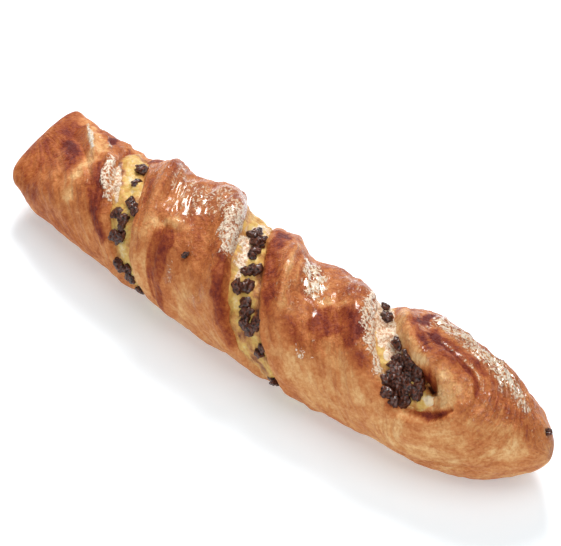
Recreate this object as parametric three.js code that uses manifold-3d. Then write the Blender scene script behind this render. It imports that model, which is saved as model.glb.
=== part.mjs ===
/*
 * A chocolate chip twist: a strip of laminated dough folded round a sheet of custard, twisted and baked.
 * Millimetres and degrees. +Z is up and +X runs along the twist, from the flattened end to the round one.
 * The origin lies on the resting surface, under the middle of the length.
 * An angle is measured round the length: 0 at the back (+Y), 90 on top, 180 at the front, 270 underneath.
 */
import * as THREE from "three";
import { ParametricGeometry } from "three/addons/geometries/ParametricGeometry.js";
import { mergeVertices } from "three/addons/utils/BufferGeometryUtils.js";
import Module from "manifold-3d";

// ---------------------------------------------------------------- driving dimensions

const LENGTH = 212;
const LEFT = -LENGTH / 2;
const RIGHT = LENGTH / 2;

// The body's half width and the sideways place of its middle, by station along the length: [x, value].
const HALF_WIDTH = [
  [-106, 16.2], [-88, 18.7], [-60, 19.3], [-40, 21.5], [20, 19.9], [62, 20.2], [82, 20.1], [106, 15.3],
];
const SIDEWAYS = [
  [-106, 7.9], [-80, 3.6], [-50, 2.1], [-10, -1.5], [20, -3.6], [45, -1.9], [82, 0.5], [106, 3.2],
];
const HEIGHT_PER_HALF_WIDTH = 1.7;
const MIDDLE_SHARE = 0.48; // of the height, where the section is widest
const SINK = 2; // how far the round underside is pressed flat
const FULLNESS = 2.2; // exponent of the section, 2 for an ellipse

// The flattened left end.
const TONGUE_END = -62; // where the round body begins
const TONGUE_THINNING = 0.55;
const TONGUE_TILT = 11;
const TONGUE_MIDDLE = 17.6; // height of its middle above the surface
const LEFT_CORNER = { length: 7, fullness: 3.6 };
const LEFT_EDGE = { length: 22, fullness: 2.2 };

// The round right end.
const RIGHT_NOSE = { length: 46, fullness: 2 };
const RIGHT_EDGE = { length: 33, fullness: 2.3 };
const NOSE_LIFT = { from: 84, height: 3 }; // how far its tip curves up

// The strip's two cut edges wind round the body as seams, where the custard shows. Stations are [x, value].
const SEAMS = [
  {
    // Comes over the top as the first opening and, a turn later, as the wide mouth near the right end.
    angle: [
      [-106, -30], [-66, 62], [-53, 123], [-36.5, 215], [4, 305], [37, 400], [50, 460], [60, 485.5], [74, 495],
      [106, 560],
    ],
    halfAngle: [
      [-72, 14], [-64, 27], [-56, 26], [-50, 24], [-38, 22], [-24, 12], [6, 12], [24, 16], [36, 17], [46, 17],
      [58, 19.5], [68, 20], [74, 14],
    ],
    depth: [[-75, 0], [-68, 3.4], [40, 3.2], [56, 6], [68, 6], [80, 0]],
    open: [[-73, 0], [-69, 1], [70, 1], [75, 0]],
    ridgeBefore: [[-106, 0], [-74, 0.6], [-35, 2], [0, 1.2], [24, 3.2], [36, 4.2], [60, 0.8], [76, 0]],
    ridgeAfter: [
      [-106, 0], [-70, 0.4], [-56, 2.2], [-44, 3.9], [-35, 0.4], [30, 2.3], [44, 4.8], [57, 3.4], [76, 0.4],
      [88, 0],
    ],
  },
  {
    // Comes over the top as the middle opening.
    angle: [[-106, -230], [-66, -150], [-42, -35], [-15.5, 37], [1, 125], [22, 217], [68, 345], [106, 430]],
    halfAngle: [[-66, 12], [-44, 12], [-30, 18], [-14, 22], [4, 26], [22, 22], [36, 12], [60, 12]],
    depth: [[-60, 0], [-50, 3], [60, 3], [70, 0]],
    open: [[-58, 0], [-52, 1], [60, 1], [66, 0]],
    ridgeBefore: [
      [-106, 0], [-70, 1], [-36, 1.1], [-24, 4.7], [-12, 5.2], [4, 0.5], [22, 1.4], [50, 1.5], [72, 0],
    ],
    ridgeAfter: [
      [-106, 0], [-62, 1], [-30, 1.6], [-14, 0.9], [3, 3.9], [12, 4], [22, 0.4], [50, 1.5], [76, 0],
    ],
  },
];
const RIDGE_BEFORE = { at: 49, spread: 24 }; // degrees before a seam
const RIDGE_AFTER = { at: 80, spread: 27 }; // degrees after a seam
const RIDGE_LEAN = { towards: 55, sharpness: 1.3, least: 0.15 }; // ridges stand highest behind the top
const GROOVE_WIDENING = 1.25; // a groove is wider than the custard in it
const DIP = { depth: 0.4, spread: 0.12 }; // the hollow halfway between two seams
const TWIST_START = [-72, -62];
const TWIST_END = [66, 80];

// Folds of the outer sheet.
const LAP = { x: -33, slope: 0.08, from: 115, to: 200, fade: 12, height: 1.4, edge: 2.2, length: 11 };
const TONGUE_CREASE = {
  x: -79, angle: 95, slope: 0.36, start: [20, 50], end: [110, 128], depth: 1.2, half: 2.8,
};
const MOUTH_LIP = { start: [42, 52], end: [66, 78], rise: [11, 23], fall: [32, 64], height: 3.4 };

// The custard sheet between the two halves of the strip.
const SHEET = { left: -75, right: 77, recess: 1.7, floorClear: 1.2 };
const NECK = { share: 0.36, half: 2.1 }; // half width of the sheet's arm at a share of its reach
const SHOULDER = { share: 0.74, half: 2.8 };
const MOUTH_RECESS = { from: 42, to: 60, extra: 2.6 };
const SHUT = { reach: 0.72, halfAngle: 10 }; // the sheet's edge where a seam is closed
const GAP = 0.3; // at the sheet's shown edge and round a chip
const HIDDEN_GAP = 0.5; // along the sheet's arms, inside the dough
const CUT_ABOVE = 7; // how far over the custard a seam is cut clear

// Rows of chocolate chips, each [seam, from [x, angle], to [x, angle], count, spread in mm, size].
const CHIP_ROWS = [
  [0, [-59, 70], [-58, 76], 1, 0, 1.15], [0, [-55.5, 95], [-55, 97], 1, 0, 0.8],
  [0, [-51.5, 117], [-46.5, 127], 3, 0.8, 0.9], [0, [-53, 137], [-46.5, 146], 4, 1.6, 0.95],
  [0, [-50, 152], [-48, 160], 2, 1, 0.9], [0, [-46, 180], [-45.5, 190], 1, 0, 1],
  [0, [-43, 182], [-42, 194], 2, 0.8, 0.9], [0, [-40, 206], [-39, 212], 1, 0, 1],
  [1, [-8.5, 64], [-6, 78], 4, 1.5, 0.9], [1, [-4.5, 84], [-3.5, 92], 2, 0.6, 0.9],
  [1, [-3, 114], [2, 102], 3, 0.9, 0.9], [1, [-1, 127], [2.5, 119], 3, 0.8, 0.9],
  [1, [4.5, 132], [8, 154], 3, 0.5, 0.9], [1, [9, 158], [14, 137], 4, 0.6, 0.95],
  [1, [17, 160], [14.5, 175], 2, 0.5, 0.85], [1, [20, 198], [20.5, 204], 1, 0, 1],
  [0, [38.5, 46], [39, 52], 1, 0, 0.9], [0, [43, 66], [43, 70], 1, 0, 1],
  [0, [52.5, 92], [52.5, 93], 1, 0, 0.9], [0, [55, 102], [59, 140], 6, 1, 0.9],
  [0, [58, 98], [64, 142], 7, 1.2, 0.9], [0, [58, 124], [62, 149], 4, 1, 0.9],
  [0, [63, 108], [67, 136], 5, 0.9, 0.9], [0, [24, 350], [30, 370], 3, 3, 1],
  [0, [10, 315], [18, 335], 2, 3, 1], [1, [-37, -15], [-31, 5], 3, 3, 1],
  [1, [-48, -70], [-44, -45], 2, 3, 1], [1, [50, 290], [58, 315], 3, 3, 1],
];
// Chips on the crust: [x, angle, half length].
const LOOSE_CHIPS = [[-21, 133, 1.3], [5, 171, 1.2], [103, 70, 1.4]];
const CHIP = { half: [2.9, 2.3, 2], least: 0.75, sides: 6, rings: 3, sunk: 0.4, floorClear: 4 };
const CHIP_SEED = 11;

// Mesh steps.
const BODY_STATIONS = 86;
const BODY_COLUMNS = 36;
const SEAM_CROWDING = 0.4;
const END_CROWDING = 0.38;
const SHEET_STATIONS = 46;
const SHEET_FACE_STEPS = 3;

// ---------------------------------------------------------------- small functions

const radians = THREE.MathUtils.degToRad;
const degrees = THREE.MathUtils.radToDeg;
const clamp = THREE.MathUtils.clamp;
const ease = THREE.MathUtils.smoothstep;
const bell = (x, middle, spread) => Math.exp(-(((x - middle) / spread) ** 2));
const turn = (angle) => THREE.MathUtils.euclideanModulo(angle, 360);

/** Smooth curve through [x, value] stations, flat beyond them. */
function through(stations, x) {
  const last = stations.length - 1;
  if (x <= stations[0][0]) return stations[0][1];
  if (x >= stations[last][0]) return stations[last][1];
  let i = 0;
  while (x > stations[i + 1][0]) i += 1;
  const slope = (k) => (stations[k + 1][1] - stations[k][1]) / (stations[k + 1][0] - stations[k][0]);
  const tangent = (k) => {
    if (k === 0) return slope(0);
    if (k === last) return slope(last - 1);
    const before = stations[k][0] - stations[k - 1][0];
    const after = stations[k + 1][0] - stations[k][0];
    return (slope(k - 1) * after + slope(k) * before) / (before + after);
  };
  const [x0, v0] = stations[i];
  const [x1, v1] = stations[i + 1];
  const h = x1 - x0;
  const t = (x - x0) / h;
  const s = 1 - t;
  const ends = v0 * (1 + 2 * t) * s * s + v1 * (1 + 2 * s) * t * t;
  return ends + h * s * t * (tangent(i) * s - tangent(i + 1) * t);
}

/** Share of full size left at a distance from an end, 0 at the end itself. */
function roundedEnd(distance, { length, fullness }) {
  const t = clamp(1 - distance / length, 0, 1);
  return (1 - t ** fullness) ** (1 / fullness);
}

/** Numbers between 0 and 1, the same each time. */
function seededDraw(seed) {
  let state = seed;
  return () => {
    state = (state * 16807) % 2147483647;
    return state / 2147483647;
  };
}

// ---------------------------------------------------------------- the body's form

/** Middle of the section at a station, as { y, z }. */
function middle(x) {
  const tongue = 1 - ease(x, LEFT, TONGUE_END);
  const height = HEIGHT_PER_HALF_WIDTH * through(HALF_WIDTH, x);
  const lift = NOSE_LIFT.height * ease(x, NOSE_LIFT.from, RIGHT);
  return { y: through(SIDEWAYS, x), z: Math.max(MIDDLE_SHARE * height, TONGUE_MIDDLE * tongue) + lift };
}

/** Radius of the plain section, without any twist in its surface. */
function plainRadius(x, angle) {
  const tongue = 1 - ease(x, LEFT, TONGUE_END);
  const height = HEIGHT_PER_HALF_WIDTH * through(HALF_WIDTH, x);
  const thin = 1 - TONGUE_THINNING * tongue;
  const wide = roundedEnd(x - LEFT, LEFT_CORNER) * roundedEnd(RIGHT - x, RIGHT_NOSE);
  const tall = roundedEnd(x - LEFT, LEFT_EDGE) * roundedEnd(RIGHT - x, RIGHT_EDGE) * thin;
  const across = through(HALF_WIDTH, x) * wide;
  const up = radians(angle - TONGUE_TILT * tongue);
  const below = Math.sin(up) < 0;
  const reach = (below ? MIDDLE_SHARE * height + SINK : (1 - MIDDLE_SHARE) * height) * tall;
  if (across < 1e-6 || reach < 1e-6) return 0;
  const share = Math.abs(Math.cos(up) / across) ** FULLNESS + Math.abs(Math.sin(up) / reach) ** FULLNESS;
  return share ** (-1 / FULLNESS);
}

/** Height of the ridges and folds over the plain section. */
function ridges(x, angle) {
  const lean = (0.5 + 0.5 * Math.cos(radians(angle - RIDGE_LEAN.towards))) ** RIDGE_LEAN.sharpness;
  const standing = RIDGE_LEAN.least + (1 - RIDGE_LEAN.least) * lean;
  const twisted = ease(x, ...TWIST_START) * (1 - ease(x, ...TWIST_END));
  let height = 0;
  let after = 360;
  let before = 360;
  for (const seam of SEAMS) {
    const past = turn(through(seam.angle, x) - angle);
    after = Math.min(after, past);
    before = Math.min(before, 360 - past);
    const rising = through(seam.ridgeAfter, x) * bell(past, RIDGE_AFTER.at, RIDGE_AFTER.spread);
    const falling = through(seam.ridgeBefore, x) * bell(360 - past, RIDGE_BEFORE.at, RIDGE_BEFORE.spread);
    height += standing * (rising + falling);
  }
  height -= DIP.depth * lean * twisted * bell(after / (after + before), 0.5, DIP.spread);
  return height + lap(x, turn(angle)) - tongueCrease(x, turn(angle)) + mouthLip(x, angle);
}

/** Edge of the outer sheet, a step that faces the left end. */
function lap(x, angle) {
  const past = x - LAP.x - LAP.slope * (angle - LAP.from);
  const start = ease(angle, LAP.from - LAP.fade, LAP.from);
  const end = ease(angle, LAP.to - LAP.fade, LAP.to + LAP.fade);
  const step = ease(past, -LAP.edge, LAP.edge) * (1 - ease(past, LAP.edge, LAP.length));
  return LAP.height * start * (1 - end) * step;
}

/** Depth of the crease where the flattened end is folded over. */
function tongueCrease(x, angle) {
  const off = x - TONGUE_CREASE.x - TONGUE_CREASE.slope * (angle - TONGUE_CREASE.angle);
  const along = ease(angle, ...TONGUE_CREASE.start) * (1 - ease(angle, ...TONGUE_CREASE.end));
  return TONGUE_CREASE.depth * along * bell(off, 0, TONGUE_CREASE.half);
}

/** Height of the rolled lip over the mouth, steep towards the mouth. */
function mouthLip(x, angle) {
  const along = ease(x, ...MOUTH_LIP.start) * (1 - ease(x, ...MOUTH_LIP.end));
  const past = turn(through(SEAMS[0].angle, x) - angle);
  return MOUTH_LIP.height * along * ease(past, ...MOUTH_LIP.rise) * (1 - ease(past, ...MOUTH_LIP.fall));
}

/** Depth of the open seams below the ridges. */
function grooves(x, angle) {
  let depth = 0;
  for (const seam of SEAMS) {
    const off = turn(through(seam.angle, x) - angle + 180) - 180;
    const half = GROOVE_WIDENING * through(seam.halfAngle, x);
    depth += through(seam.depth, x) * Math.exp(-((off / half) ** 4));
  }
  return depth;
}

/** Point at a radius and an angle round a station's middle, never under the resting surface. */
function placed(x, radius, angle, target = new THREE.Vector3()) {
  const { y, z } = middle(x);
  const across = radius * Math.cos(radians(angle));
  const up = radius * Math.sin(radians(angle));
  return target.set(x, y + across, Math.max(z + up, 0));
}

/** Radius of the dough's outside. */
function doughRadius(x, angle) {
  const radius = plainRadius(x, angle);
  const strength = clamp(radius / 12, 0, 1);
  return Math.max(radius + (ridges(x, angle) - grooves(x, angle)) * strength, 0);
}

// ---------------------------------------------------------------- solids

const wasm = await Module();
wasm.setup();

/** Closed geometry as a solid: shared corners merged, and the empty triangles of a pole left out. */
function solidOf(geometry) {
  const bare = geometry.clone();
  bare.deleteAttribute("normal");
  bare.deleteAttribute("uv");
  const merged = mergeVertices(bare, 1e-4);
  const index = merged.index.array;
  const corners = [];
  for (let i = 0; i < index.length; i += 3) {
    const [a, b, c] = [index[i], index[i + 1], index[i + 2]];
    if (a !== b && b !== c && c !== a) corners.push(a, b, c);
  }
  const vertProperties = new Float32Array(merged.attributes.position.array);
  const triVerts = new Uint32Array(corners);
  const solid = new wasm.Manifold(new wasm.Mesh({ numProp: 3, vertProperties, triVerts }));
  if (solid.volume() < 0) throw new Error("a surface faces inwards");
  return solid;
}

/** The largest piece of a solid, with slivers smoothed away. */
function largestPiece(solid) {
  const pieces = solid.decompose();
  pieces.sort((a, b) => b.volume() - a.volume());
  return pieces[0].simplify(0.01);
}

/** Named mesh of a solid. */
function meshOf(name, solid, material) {
  const { vertProperties, triVerts } = solid.getMesh();
  const geometry = new THREE.BufferGeometry();
  geometry.setAttribute("position", new THREE.BufferAttribute(new Float32Array(vertProperties), 3));
  geometry.setIndex(new THREE.BufferAttribute(new Uint32Array(triVerts), 1));
  geometry.computeVertexNormals();
  const mesh = new THREE.Mesh(geometry, material);
  mesh.name = name;
  return mesh;
}

/** The dough before the custard is let in. Its columns follow the two seams and crowd near them. */
function doughBody() {
  const pointAt = (u, v, target) => {
    const x = LEFT + LENGTH * ((1 - END_CROWDING) * v + END_CROWDING * 0.5 * (1 - Math.cos(Math.PI * v)));
    const first = through(SEAMS[0].angle, x);
    const span = turn(through(SEAMS[1].angle, x) - first);
    const round = u % 1;
    const t = (2 * round) % 1;
    const crowded = t - (SEAM_CROWDING * Math.sin(2 * Math.PI * t)) / (2 * Math.PI);
    const angle = round < 0.5 ? first + span * crowded : first + span + (360 - span) * crowded;
    placed(x, doughRadius(x, angle), angle, target);
  };
  return solidOf(new ParametricGeometry(pointAt, BODY_COLUMNS, BODY_STATIONS));
}

/** Radius that the custard reaches under a seam, held clear of the resting surface. */
function sheetReach(seam, x, angle) {
  const plain = plainRadius(x, angle);
  const deeper = seam === SEAMS[0] ? MOUTH_RECESS.extra * ease(x, MOUTH_RECESS.from, MOUTH_RECESS.to) : 0;
  const shown = plain + ridges(x, angle) - SHEET.recess - deeper;
  const reach = THREE.MathUtils.lerp(SHUT.reach * plain, shown, clamp(through(seam.open, x), 0, 1));
  const down = Math.max(-Math.sin(radians(angle)), 1e-3);
  return Math.min(reach, (middle(x).z - SHEET.floorClear) / down);
}

/** One arm of the sheet's section, from its neck out to the seam and back, as [radius, angle] pairs. */
function sheetArm(seam, x, grow, above) {
  const open = clamp(through(seam.open, x), 0, 1);
  const seamAngle = through(seam.angle, x);
  const reach = sheetReach(seam, x, seamAngle);
  const half = THREE.MathUtils.lerp(SHUT.halfAngle, through(seam.halfAngle, x), open);
  const edge = half + degrees(grow / reach);
  const widening = grow > 0 ? HIDDEN_GAP : 0;
  const side = (sign) => {
    const points = [NECK, SHOULDER].map((place) => {
      const radius = place.share * reach;
      return [radius, seamAngle + sign * degrees(Math.atan2(place.half + widening, radius))];
    });
    const corner = seamAngle + sign * edge;
    return above > 0 ? [...points, [sheetReach(seam, x, corner), corner]] : points;
  };
  const face = [];
  for (let i = 0; i <= SHEET_FACE_STEPS; i += 1) {
    const angle = seamAngle + edge * ((2 * i) / SHEET_FACE_STEPS - 1);
    face.push([sheetReach(seam, x, angle) + grow + above * open, angle]);
  }
  return [...side(-1), ...face, ...side(1).reverse()];
}

/** The twisted custard sheet, or with grow and above the room that it takes out of the dough. */
function sheetSolid(grow, above) {
  const corners = SEAMS.reduce((sum, seam) => sum + sheetArm(seam, 0, grow, above).length, 0);
  const rings = SHEET_STATIONS + 2;
  const pointAt = (u, v, target) => {
    const ring = Math.round(v * rings);
    const along = clamp((ring - 1) / SHEET_STATIONS, 0, 1);
    const x = THREE.MathUtils.lerp(SHEET.left, SHEET.right, along);
    const section = SEAMS.flatMap((seam) => sheetArm(seam, x, grow, above));
    const [radius, angle] = section[Math.round(u * corners) % corners];
    placed(x, ring === 0 || ring === rings ? 0 : radius, angle, target);
    if (along === 0) target.x -= grow;
    if (along === 1) target.x += grow;
  };
  return solidOf(new ParametricGeometry(pointAt, corners, rings));
}

/** A chip: a lump of a few faces, turned about the surface's own upright and sunk into it. */
function chipSolid(x, angle, radius, half, spin, grow) {
  const lump = new THREE.SphereGeometry(1, CHIP.sides, CHIP.rings);
  const outward = new THREE.Vector3(0, Math.cos(radians(angle)), Math.sin(radians(angle)));
  const along = new THREE.Vector3(1, 0, 0).applyAxisAngle(outward, spin);
  const across = new THREE.Vector3().crossVectors(outward, along);
  const size = half.map((value) => value + grow);
  const place = new THREE.Matrix4().makeBasis(along, across, outward);
  place.scale(new THREE.Vector3(...size));
  place.setPosition(placed(x, radius + (1 - 2 * CHIP.sunk) * half[2], angle));
  return solidOf(lump.applyMatrix4(place));
}

/** Every chip on the custard, drawn along its row, as { x, angle, radius, half, spin }. */
function chipPlaces() {
  const draw = seededDraw(CHIP_SEED);
  const places = [];
  for (const [which, from, to, count, spread, size] of CHIP_ROWS) {
    const seam = SEAMS[which];
    for (let i = 0; i < count; i += 1) {
      const along = (i + 0.5) / count;
      const distance = spread * Math.sqrt(draw());
      const bearing = 2 * Math.PI * draw();
      const share = size * (CHIP.least + (1 - CHIP.least) * draw());
      const spin = Math.PI * draw();
      const x = THREE.MathUtils.lerp(from[0], to[0], along) + distance * Math.cos(bearing);
      const shift = degrees((distance * Math.sin(bearing)) / plainRadius(x, 90));
      const angle = THREE.MathUtils.lerp(from[1], to[1], along) + shift;
      const radius = sheetReach(seam, x, angle);
      const half = CHIP.half.map((value) => value * share);
      if (placed(x, radius, angle).z > CHIP.floorClear) places.push({ x, angle, radius, half, spin });
    }
  }
  return places;
}

// ---------------------------------------------------------------- the pastry

const chips = chipPlaces();
const chipSolids = (grow) => chips.map((c) => chipSolid(c.x, c.angle, c.radius, c.half, c.spin, grow));
const together = (solids) => solids.reduce((sum, solid) => sum.add(solid));

const room = together([sheetSolid(GAP, CUT_ABOVE), ...chipSolids(GAP)]);
const crustChips = LOOSE_CHIPS.map(([x, angle, size]) => {
  const half = CHIP.half.map((value) => (value * size) / CHIP.half[0]);
  return chipSolid(x, angle, doughRadius(x, angle), half, 0, 0);
});
const dough = largestPiece(together([doughBody(), ...crustChips]).subtract(room));
const custard = largestPiece(together([sheetSolid(0, 0), ...chipSolids(0)]));

const baked = new THREE.MeshStandardMaterial({ color: 0xb8753a, roughness: 0.35, metalness: 0 });
const cream = new THREE.MeshStandardMaterial({ color: 0xd8b456, roughness: 0.5, metalness: 0 });

const pastry = new THREE.Group();
pastry.add(meshOf("pastry_dough", dough, baked));
pastry.add(meshOf("custard_filling", custard, cream));

export default pastry;
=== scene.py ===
"""Looks of a chocolate chip twist pastry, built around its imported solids.

Lengths are in millimetres and become metres when a mesh is made. +X runs along the twist, from the flattened
end to the round one, and +Z is up. An angle is in degrees round the length: 0 at the back (+Y), 90 on top,
180 at the front and 270 underneath. Seams are unrolled angles that grow with x.
"""

import logging
import math
from dataclasses import dataclass
from enum import Enum

import bpy
import numpy as np
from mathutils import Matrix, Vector

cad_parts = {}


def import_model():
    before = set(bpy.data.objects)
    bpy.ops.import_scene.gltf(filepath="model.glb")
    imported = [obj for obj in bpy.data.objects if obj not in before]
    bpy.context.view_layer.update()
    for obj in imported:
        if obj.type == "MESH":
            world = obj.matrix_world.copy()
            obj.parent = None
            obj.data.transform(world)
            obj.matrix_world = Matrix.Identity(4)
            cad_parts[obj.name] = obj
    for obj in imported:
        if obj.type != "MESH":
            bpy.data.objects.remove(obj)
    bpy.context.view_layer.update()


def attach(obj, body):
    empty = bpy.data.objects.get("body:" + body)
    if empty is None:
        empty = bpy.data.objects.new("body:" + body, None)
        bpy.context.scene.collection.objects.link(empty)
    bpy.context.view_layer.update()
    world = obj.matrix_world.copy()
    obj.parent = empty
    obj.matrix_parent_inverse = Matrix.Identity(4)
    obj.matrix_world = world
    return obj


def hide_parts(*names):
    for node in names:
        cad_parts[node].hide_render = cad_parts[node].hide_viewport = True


LOG = logging.getLogger("twist")
Array = np.ndarray
Socket = bpy.types.NodeSocket
Colour = tuple[float, float, float]
Stops = tuple[tuple[float, Colour], ...]
Range = tuple[float, float]
Grain = tuple[float, float]  # size of an effect's features in millimetres, and how many finer octaves it has

MM = 0.001
LENGTH = 212.0
LEFT = -LENGTH / 2
RIGHT = LENGTH / 2
FAR = 1000.0  # farther than anything on the pastry
MM_PER_DEGREE = 0.34  # round the crust, at its mean radius
WAVE_NUMBERS = (0.7, 1.45)  # least and greatest wave number of a relief of one size


# ---------------------------------------------------------------- small functions


def ease(x: Array, low: float, high: float) -> Array:
    """Smooth step from 0 at low to 1 at high: 3 t squared minus 2 t cubed.

    Args:
        x: Where to take it.
        low: Where the step starts.
        high: Where it ends.

    Returns:
        Values from 0 to 1.
    """
    t = np.clip((x - low) / (high - low), 0, 1)
    return t * t * (3 - 2 * t)


def plateau(x: Array, rise: Range, fall: Range) -> Array:
    """Smooth step from 0 to 1 over the first range, times a smooth step back to 0 over the second."""
    return ease(x, *rise) * (1 - ease(x, *fall))


def bell(x: Array, middle: float, spread: float) -> Array:
    """Bell curve: e to the minus square of the distance from the middle over the spread.

    Args:
        x: Where to take it.
        middle: Place of the top, where it is 1.
        spread: Distance at which it has fallen to 0.37.

    Returns:
        Values from 0 to 1.
    """
    return np.exp(-(((x - middle) / spread) ** 2))


def turn(angle: Array) -> Array:
    """An angle brought between 0 and 360 degrees."""
    return np.mod(angle, 360)


def half_turn(angle: Array) -> Array:
    """An angle brought between -180 and 180 degrees."""
    return np.mod(angle + 180, 360) - 180


@dataclass(frozen=True)
class Course:
    """Smooth curve through (x, value) stations, flat beyond the first and the last."""

    stations: tuple[tuple[float, float], ...]

    def at(self, x: Array) -> Array:
        """Cubic between two stations, with the slope at each weighted from the slopes on both sides.

        Args:
            x: Places along the twist.

        Returns:
            The curve's values there.
        """
        xs, values = np.array(self.stations, float).T
        steps = np.diff(xs)
        slopes = np.diff(values) / steps
        inner = (slopes[:-1] * steps[1:] + slopes[1:] * steps[:-1]) / (steps[:-1] + steps[1:])
        tangents = np.concatenate(([slopes[0]], inner, [slopes[-1]]))
        place = np.clip(x, xs[0], xs[-1])
        i = np.clip(np.searchsorted(xs, place, side="right") - 1, 0, len(xs) - 2)
        t = (place - xs[i]) / steps[i]
        s = 1 - t
        ends = values[i] * (1 + 2 * t) * s * s + values[i + 1] * (1 + 2 * s) * t * t
        return ends + steps[i] * s * t * (tangents[i] * s - tangents[i + 1] * t)


@dataclass(frozen=True)
class RoundedEnd:
    """How a section shrinks towards an end of the twist."""

    length: float
    fullness: float

    def share(self, distance: Array) -> Array:
        """Share of full size left: (1 - t ** fullness) ** (1 / fullness), t falling from 1 at the end.

        Args:
            distance: Distance from the end.

        Returns:
            Shares from 0 to 1.
        """
        t = np.clip(1 - distance / self.length, 0, 1)
        return (1 - t**self.fullness) ** (1 / self.fullness)


@dataclass(frozen=True)
class Unevenness:
    """Random relief of one size: a sum of cosine waves in drawn directions and phases."""

    size: float
    height: float
    seed: int
    waves: int = 36

    def at(self, points: Array) -> Array:
        """Sum of the waves, scaled so that its usual height is the one stated.

        Args:
            points: Places in space, the last axis being x, y and z.

        Returns:
            Heights, positive and negative alike.
        """
        draw = np.random.default_rng(self.seed)
        direction = draw.normal(size=(self.waves, 3))
        direction /= np.linalg.norm(direction, axis=1, keepdims=True)
        number = 2 * math.pi / self.size * draw.uniform(*WAVE_NUMBERS, (self.waves, 1))
        phase = draw.uniform(0, 2 * math.pi, self.waves)
        waves = np.cos(points @ (number * direction).T + phase)
        return self.height * math.sqrt(2 / self.waves) * waves.sum(-1)


Relief = tuple[Unevenness, ...]


def summed(relief: Relief, points: Array) -> Array:
    """The sum of several sizes of unevenness at each place."""
    return sum(noise.at(points) for noise in relief)


def unrolled(path: tuple, angle: Array) -> tuple[Array, list[tuple]]:
    """Places and a path on the unrolled crust, as millimetres round it from the path's first knot.

    Args:
        path: Knots of x and angle, each with a half width where the path has them.
        angle: The places' angles.

    Returns:
        Millimetres round the crust to each place, and the knots with theirs in place of the angles.
    """
    middle = path[0][1]
    knots = [(x, MM_PER_DEGREE * (degrees - middle), *half) for x, degrees, *half in path]
    return MM_PER_DEGREE * half_turn(angle - middle), knots


def nearest_on_leg(x: Array, across: Array, start: tuple, end: tuple) -> tuple[Array, Array]:
    """The point of one leg of a path that is nearest to each place.

    Args:
        x: Places along the twist.
        across: Millimetres round it.
        start: The knot where the leg starts.
        end: The knot where it ends.

    Returns:
        How far along the leg that point is, from 0 to 1, and its distance.
    """
    dx, da = end[0] - start[0], end[1] - start[1]
    t = np.clip(((x - start[0]) * dx + (across - start[1]) * da) / max(dx * dx + da * da, 1e-9), 0, 1)
    return t, np.hypot(x - start[0] - t * dx, across - start[1] - t * da)


@dataclass(frozen=True)
class Mark:
    """A spot or a streak: a band along a path of (x, angle, half width) places, with soft edges."""

    path: tuple[tuple[float, float, float], ...]
    strength: float = 1.0
    soft: float = 1.0
    straight: float = 2.5

    def at(self, x: Array, angle: Array, ragged: Array) -> Array:
        """Strength times a smooth step of how far inside the band's edge each place lies.

        The distance is measured on the unrolled crust, from the nearest point of the path. Where the band is
        narrower than the straight half width, its edge is ragged in proportion.

        Args:
            x: Places along the twist.
            angle: Angles round it.
            ragged: How far the edge is moved outwards there.

        Returns:
            The mark's strength at each place.
        """
        across, knots = unrolled(self.path, angle)
        inside = np.full(across.shape, -FAR)
        for start, end in zip(knots, knots[1:] or knots):
            t, distance = nearest_on_leg(x, across, start, end)
            half = start[2] + t * (end[2] - start[2])
            inside = np.maximum(inside, half - distance + ragged * np.minimum(1, half / self.straight))
        return self.strength * ease(inside, -self.soft, self.soft)


@dataclass(frozen=True)
class Fold:
    """Edge of a layer that lies over the next: a steep step along a path, and a long slope behind it.

    The high side is on the left of the path, on the unrolled crust with x to the right and angle upwards.
    """

    path: tuple[tuple[float, float], ...]
    height: float
    edge: float = 0.6
    length: float = 7.0
    fade: float = 3.0

    def at(self, x: Array, angle: Array, ragged: Array) -> Array:
        """Height times a step over the edge's width, fading behind it and towards both ends of the path.

        Args:
            x: Places along the twist.
            angle: Angles round it.
            ragged: How far the edge is moved outwards there.

        Returns:
            Heights.
        """
        across, knots = unrolled(self.path, angle)
        nearest = np.full(across.shape, FAR)
        side = np.zeros(across.shape)
        reached = np.zeros(across.shape)
        run = 0.0
        for (x0, a0), (x1, a1) in zip(knots, knots[1:]):
            t, distance = nearest_on_leg(x, across, (x0, a0), (x1, a1))
            length = math.hypot(x1 - x0, a1 - a0)
            closer = distance < nearest
            left = np.sign((x1 - x0) * (across - a0) - (a1 - a0) * (x - x0))
            nearest = np.where(closer, distance, nearest)
            side = np.where(closer, left, side)
            reached = np.where(closer, run + t * length, reached)
            run += length
        off = nearest * side + ragged
        step = plateau(off, (-self.edge, self.edge), (self.edge, self.length))
        return self.height * step * plateau(reached, (0, self.fade), (run - self.fade, run))


def strongest(marks: tuple[Mark, ...], x: Array, angle: Array, ragged: Array) -> Array:
    """The strongest of several marks at each place.

    Args:
        marks: The marks.
        x: Places along the twist.
        angle: Angles round it.
        ragged: How far edges are moved outwards there.

    Returns:
        Strengths.
    """
    return np.max([mark.at(x, angle, ragged) for mark in marks], axis=0)


def total(marks: tuple[Mark | Fold, ...], x: Array, angle: Array, ragged: Array) -> Array:
    """The sum of several marks or folds at each place.

    Args:
        marks: The marks.
        x: Places along the twist.
        angle: Angles round it.
        ragged: How far edges are moved outwards there.

    Returns:
        Strengths added up.
    """
    return np.sum([mark.at(x, angle, ragged) for mark in marks], axis=0)


# ---------------------------------------------------------------- the form


@dataclass(frozen=True)
class Seam:
    """A cut edge of the strip, which winds round the body and shows the custard."""

    angle: Course
    half_angle: Course
    depth: Course
    open: Course
    ridge_before: Course
    ridge_after: Course

    def past(self, x: Array, angle: Array) -> Array:
        """Degrees from this seam back to an angle, from 0 to 360."""
        return turn(self.angle.at(x) - angle)

    def off(self, x: Array, angle: Array) -> Array:
        """Degrees from this seam back to an angle, from -180 to 180."""
        return half_turn(self.angle.at(x) - angle)


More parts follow.
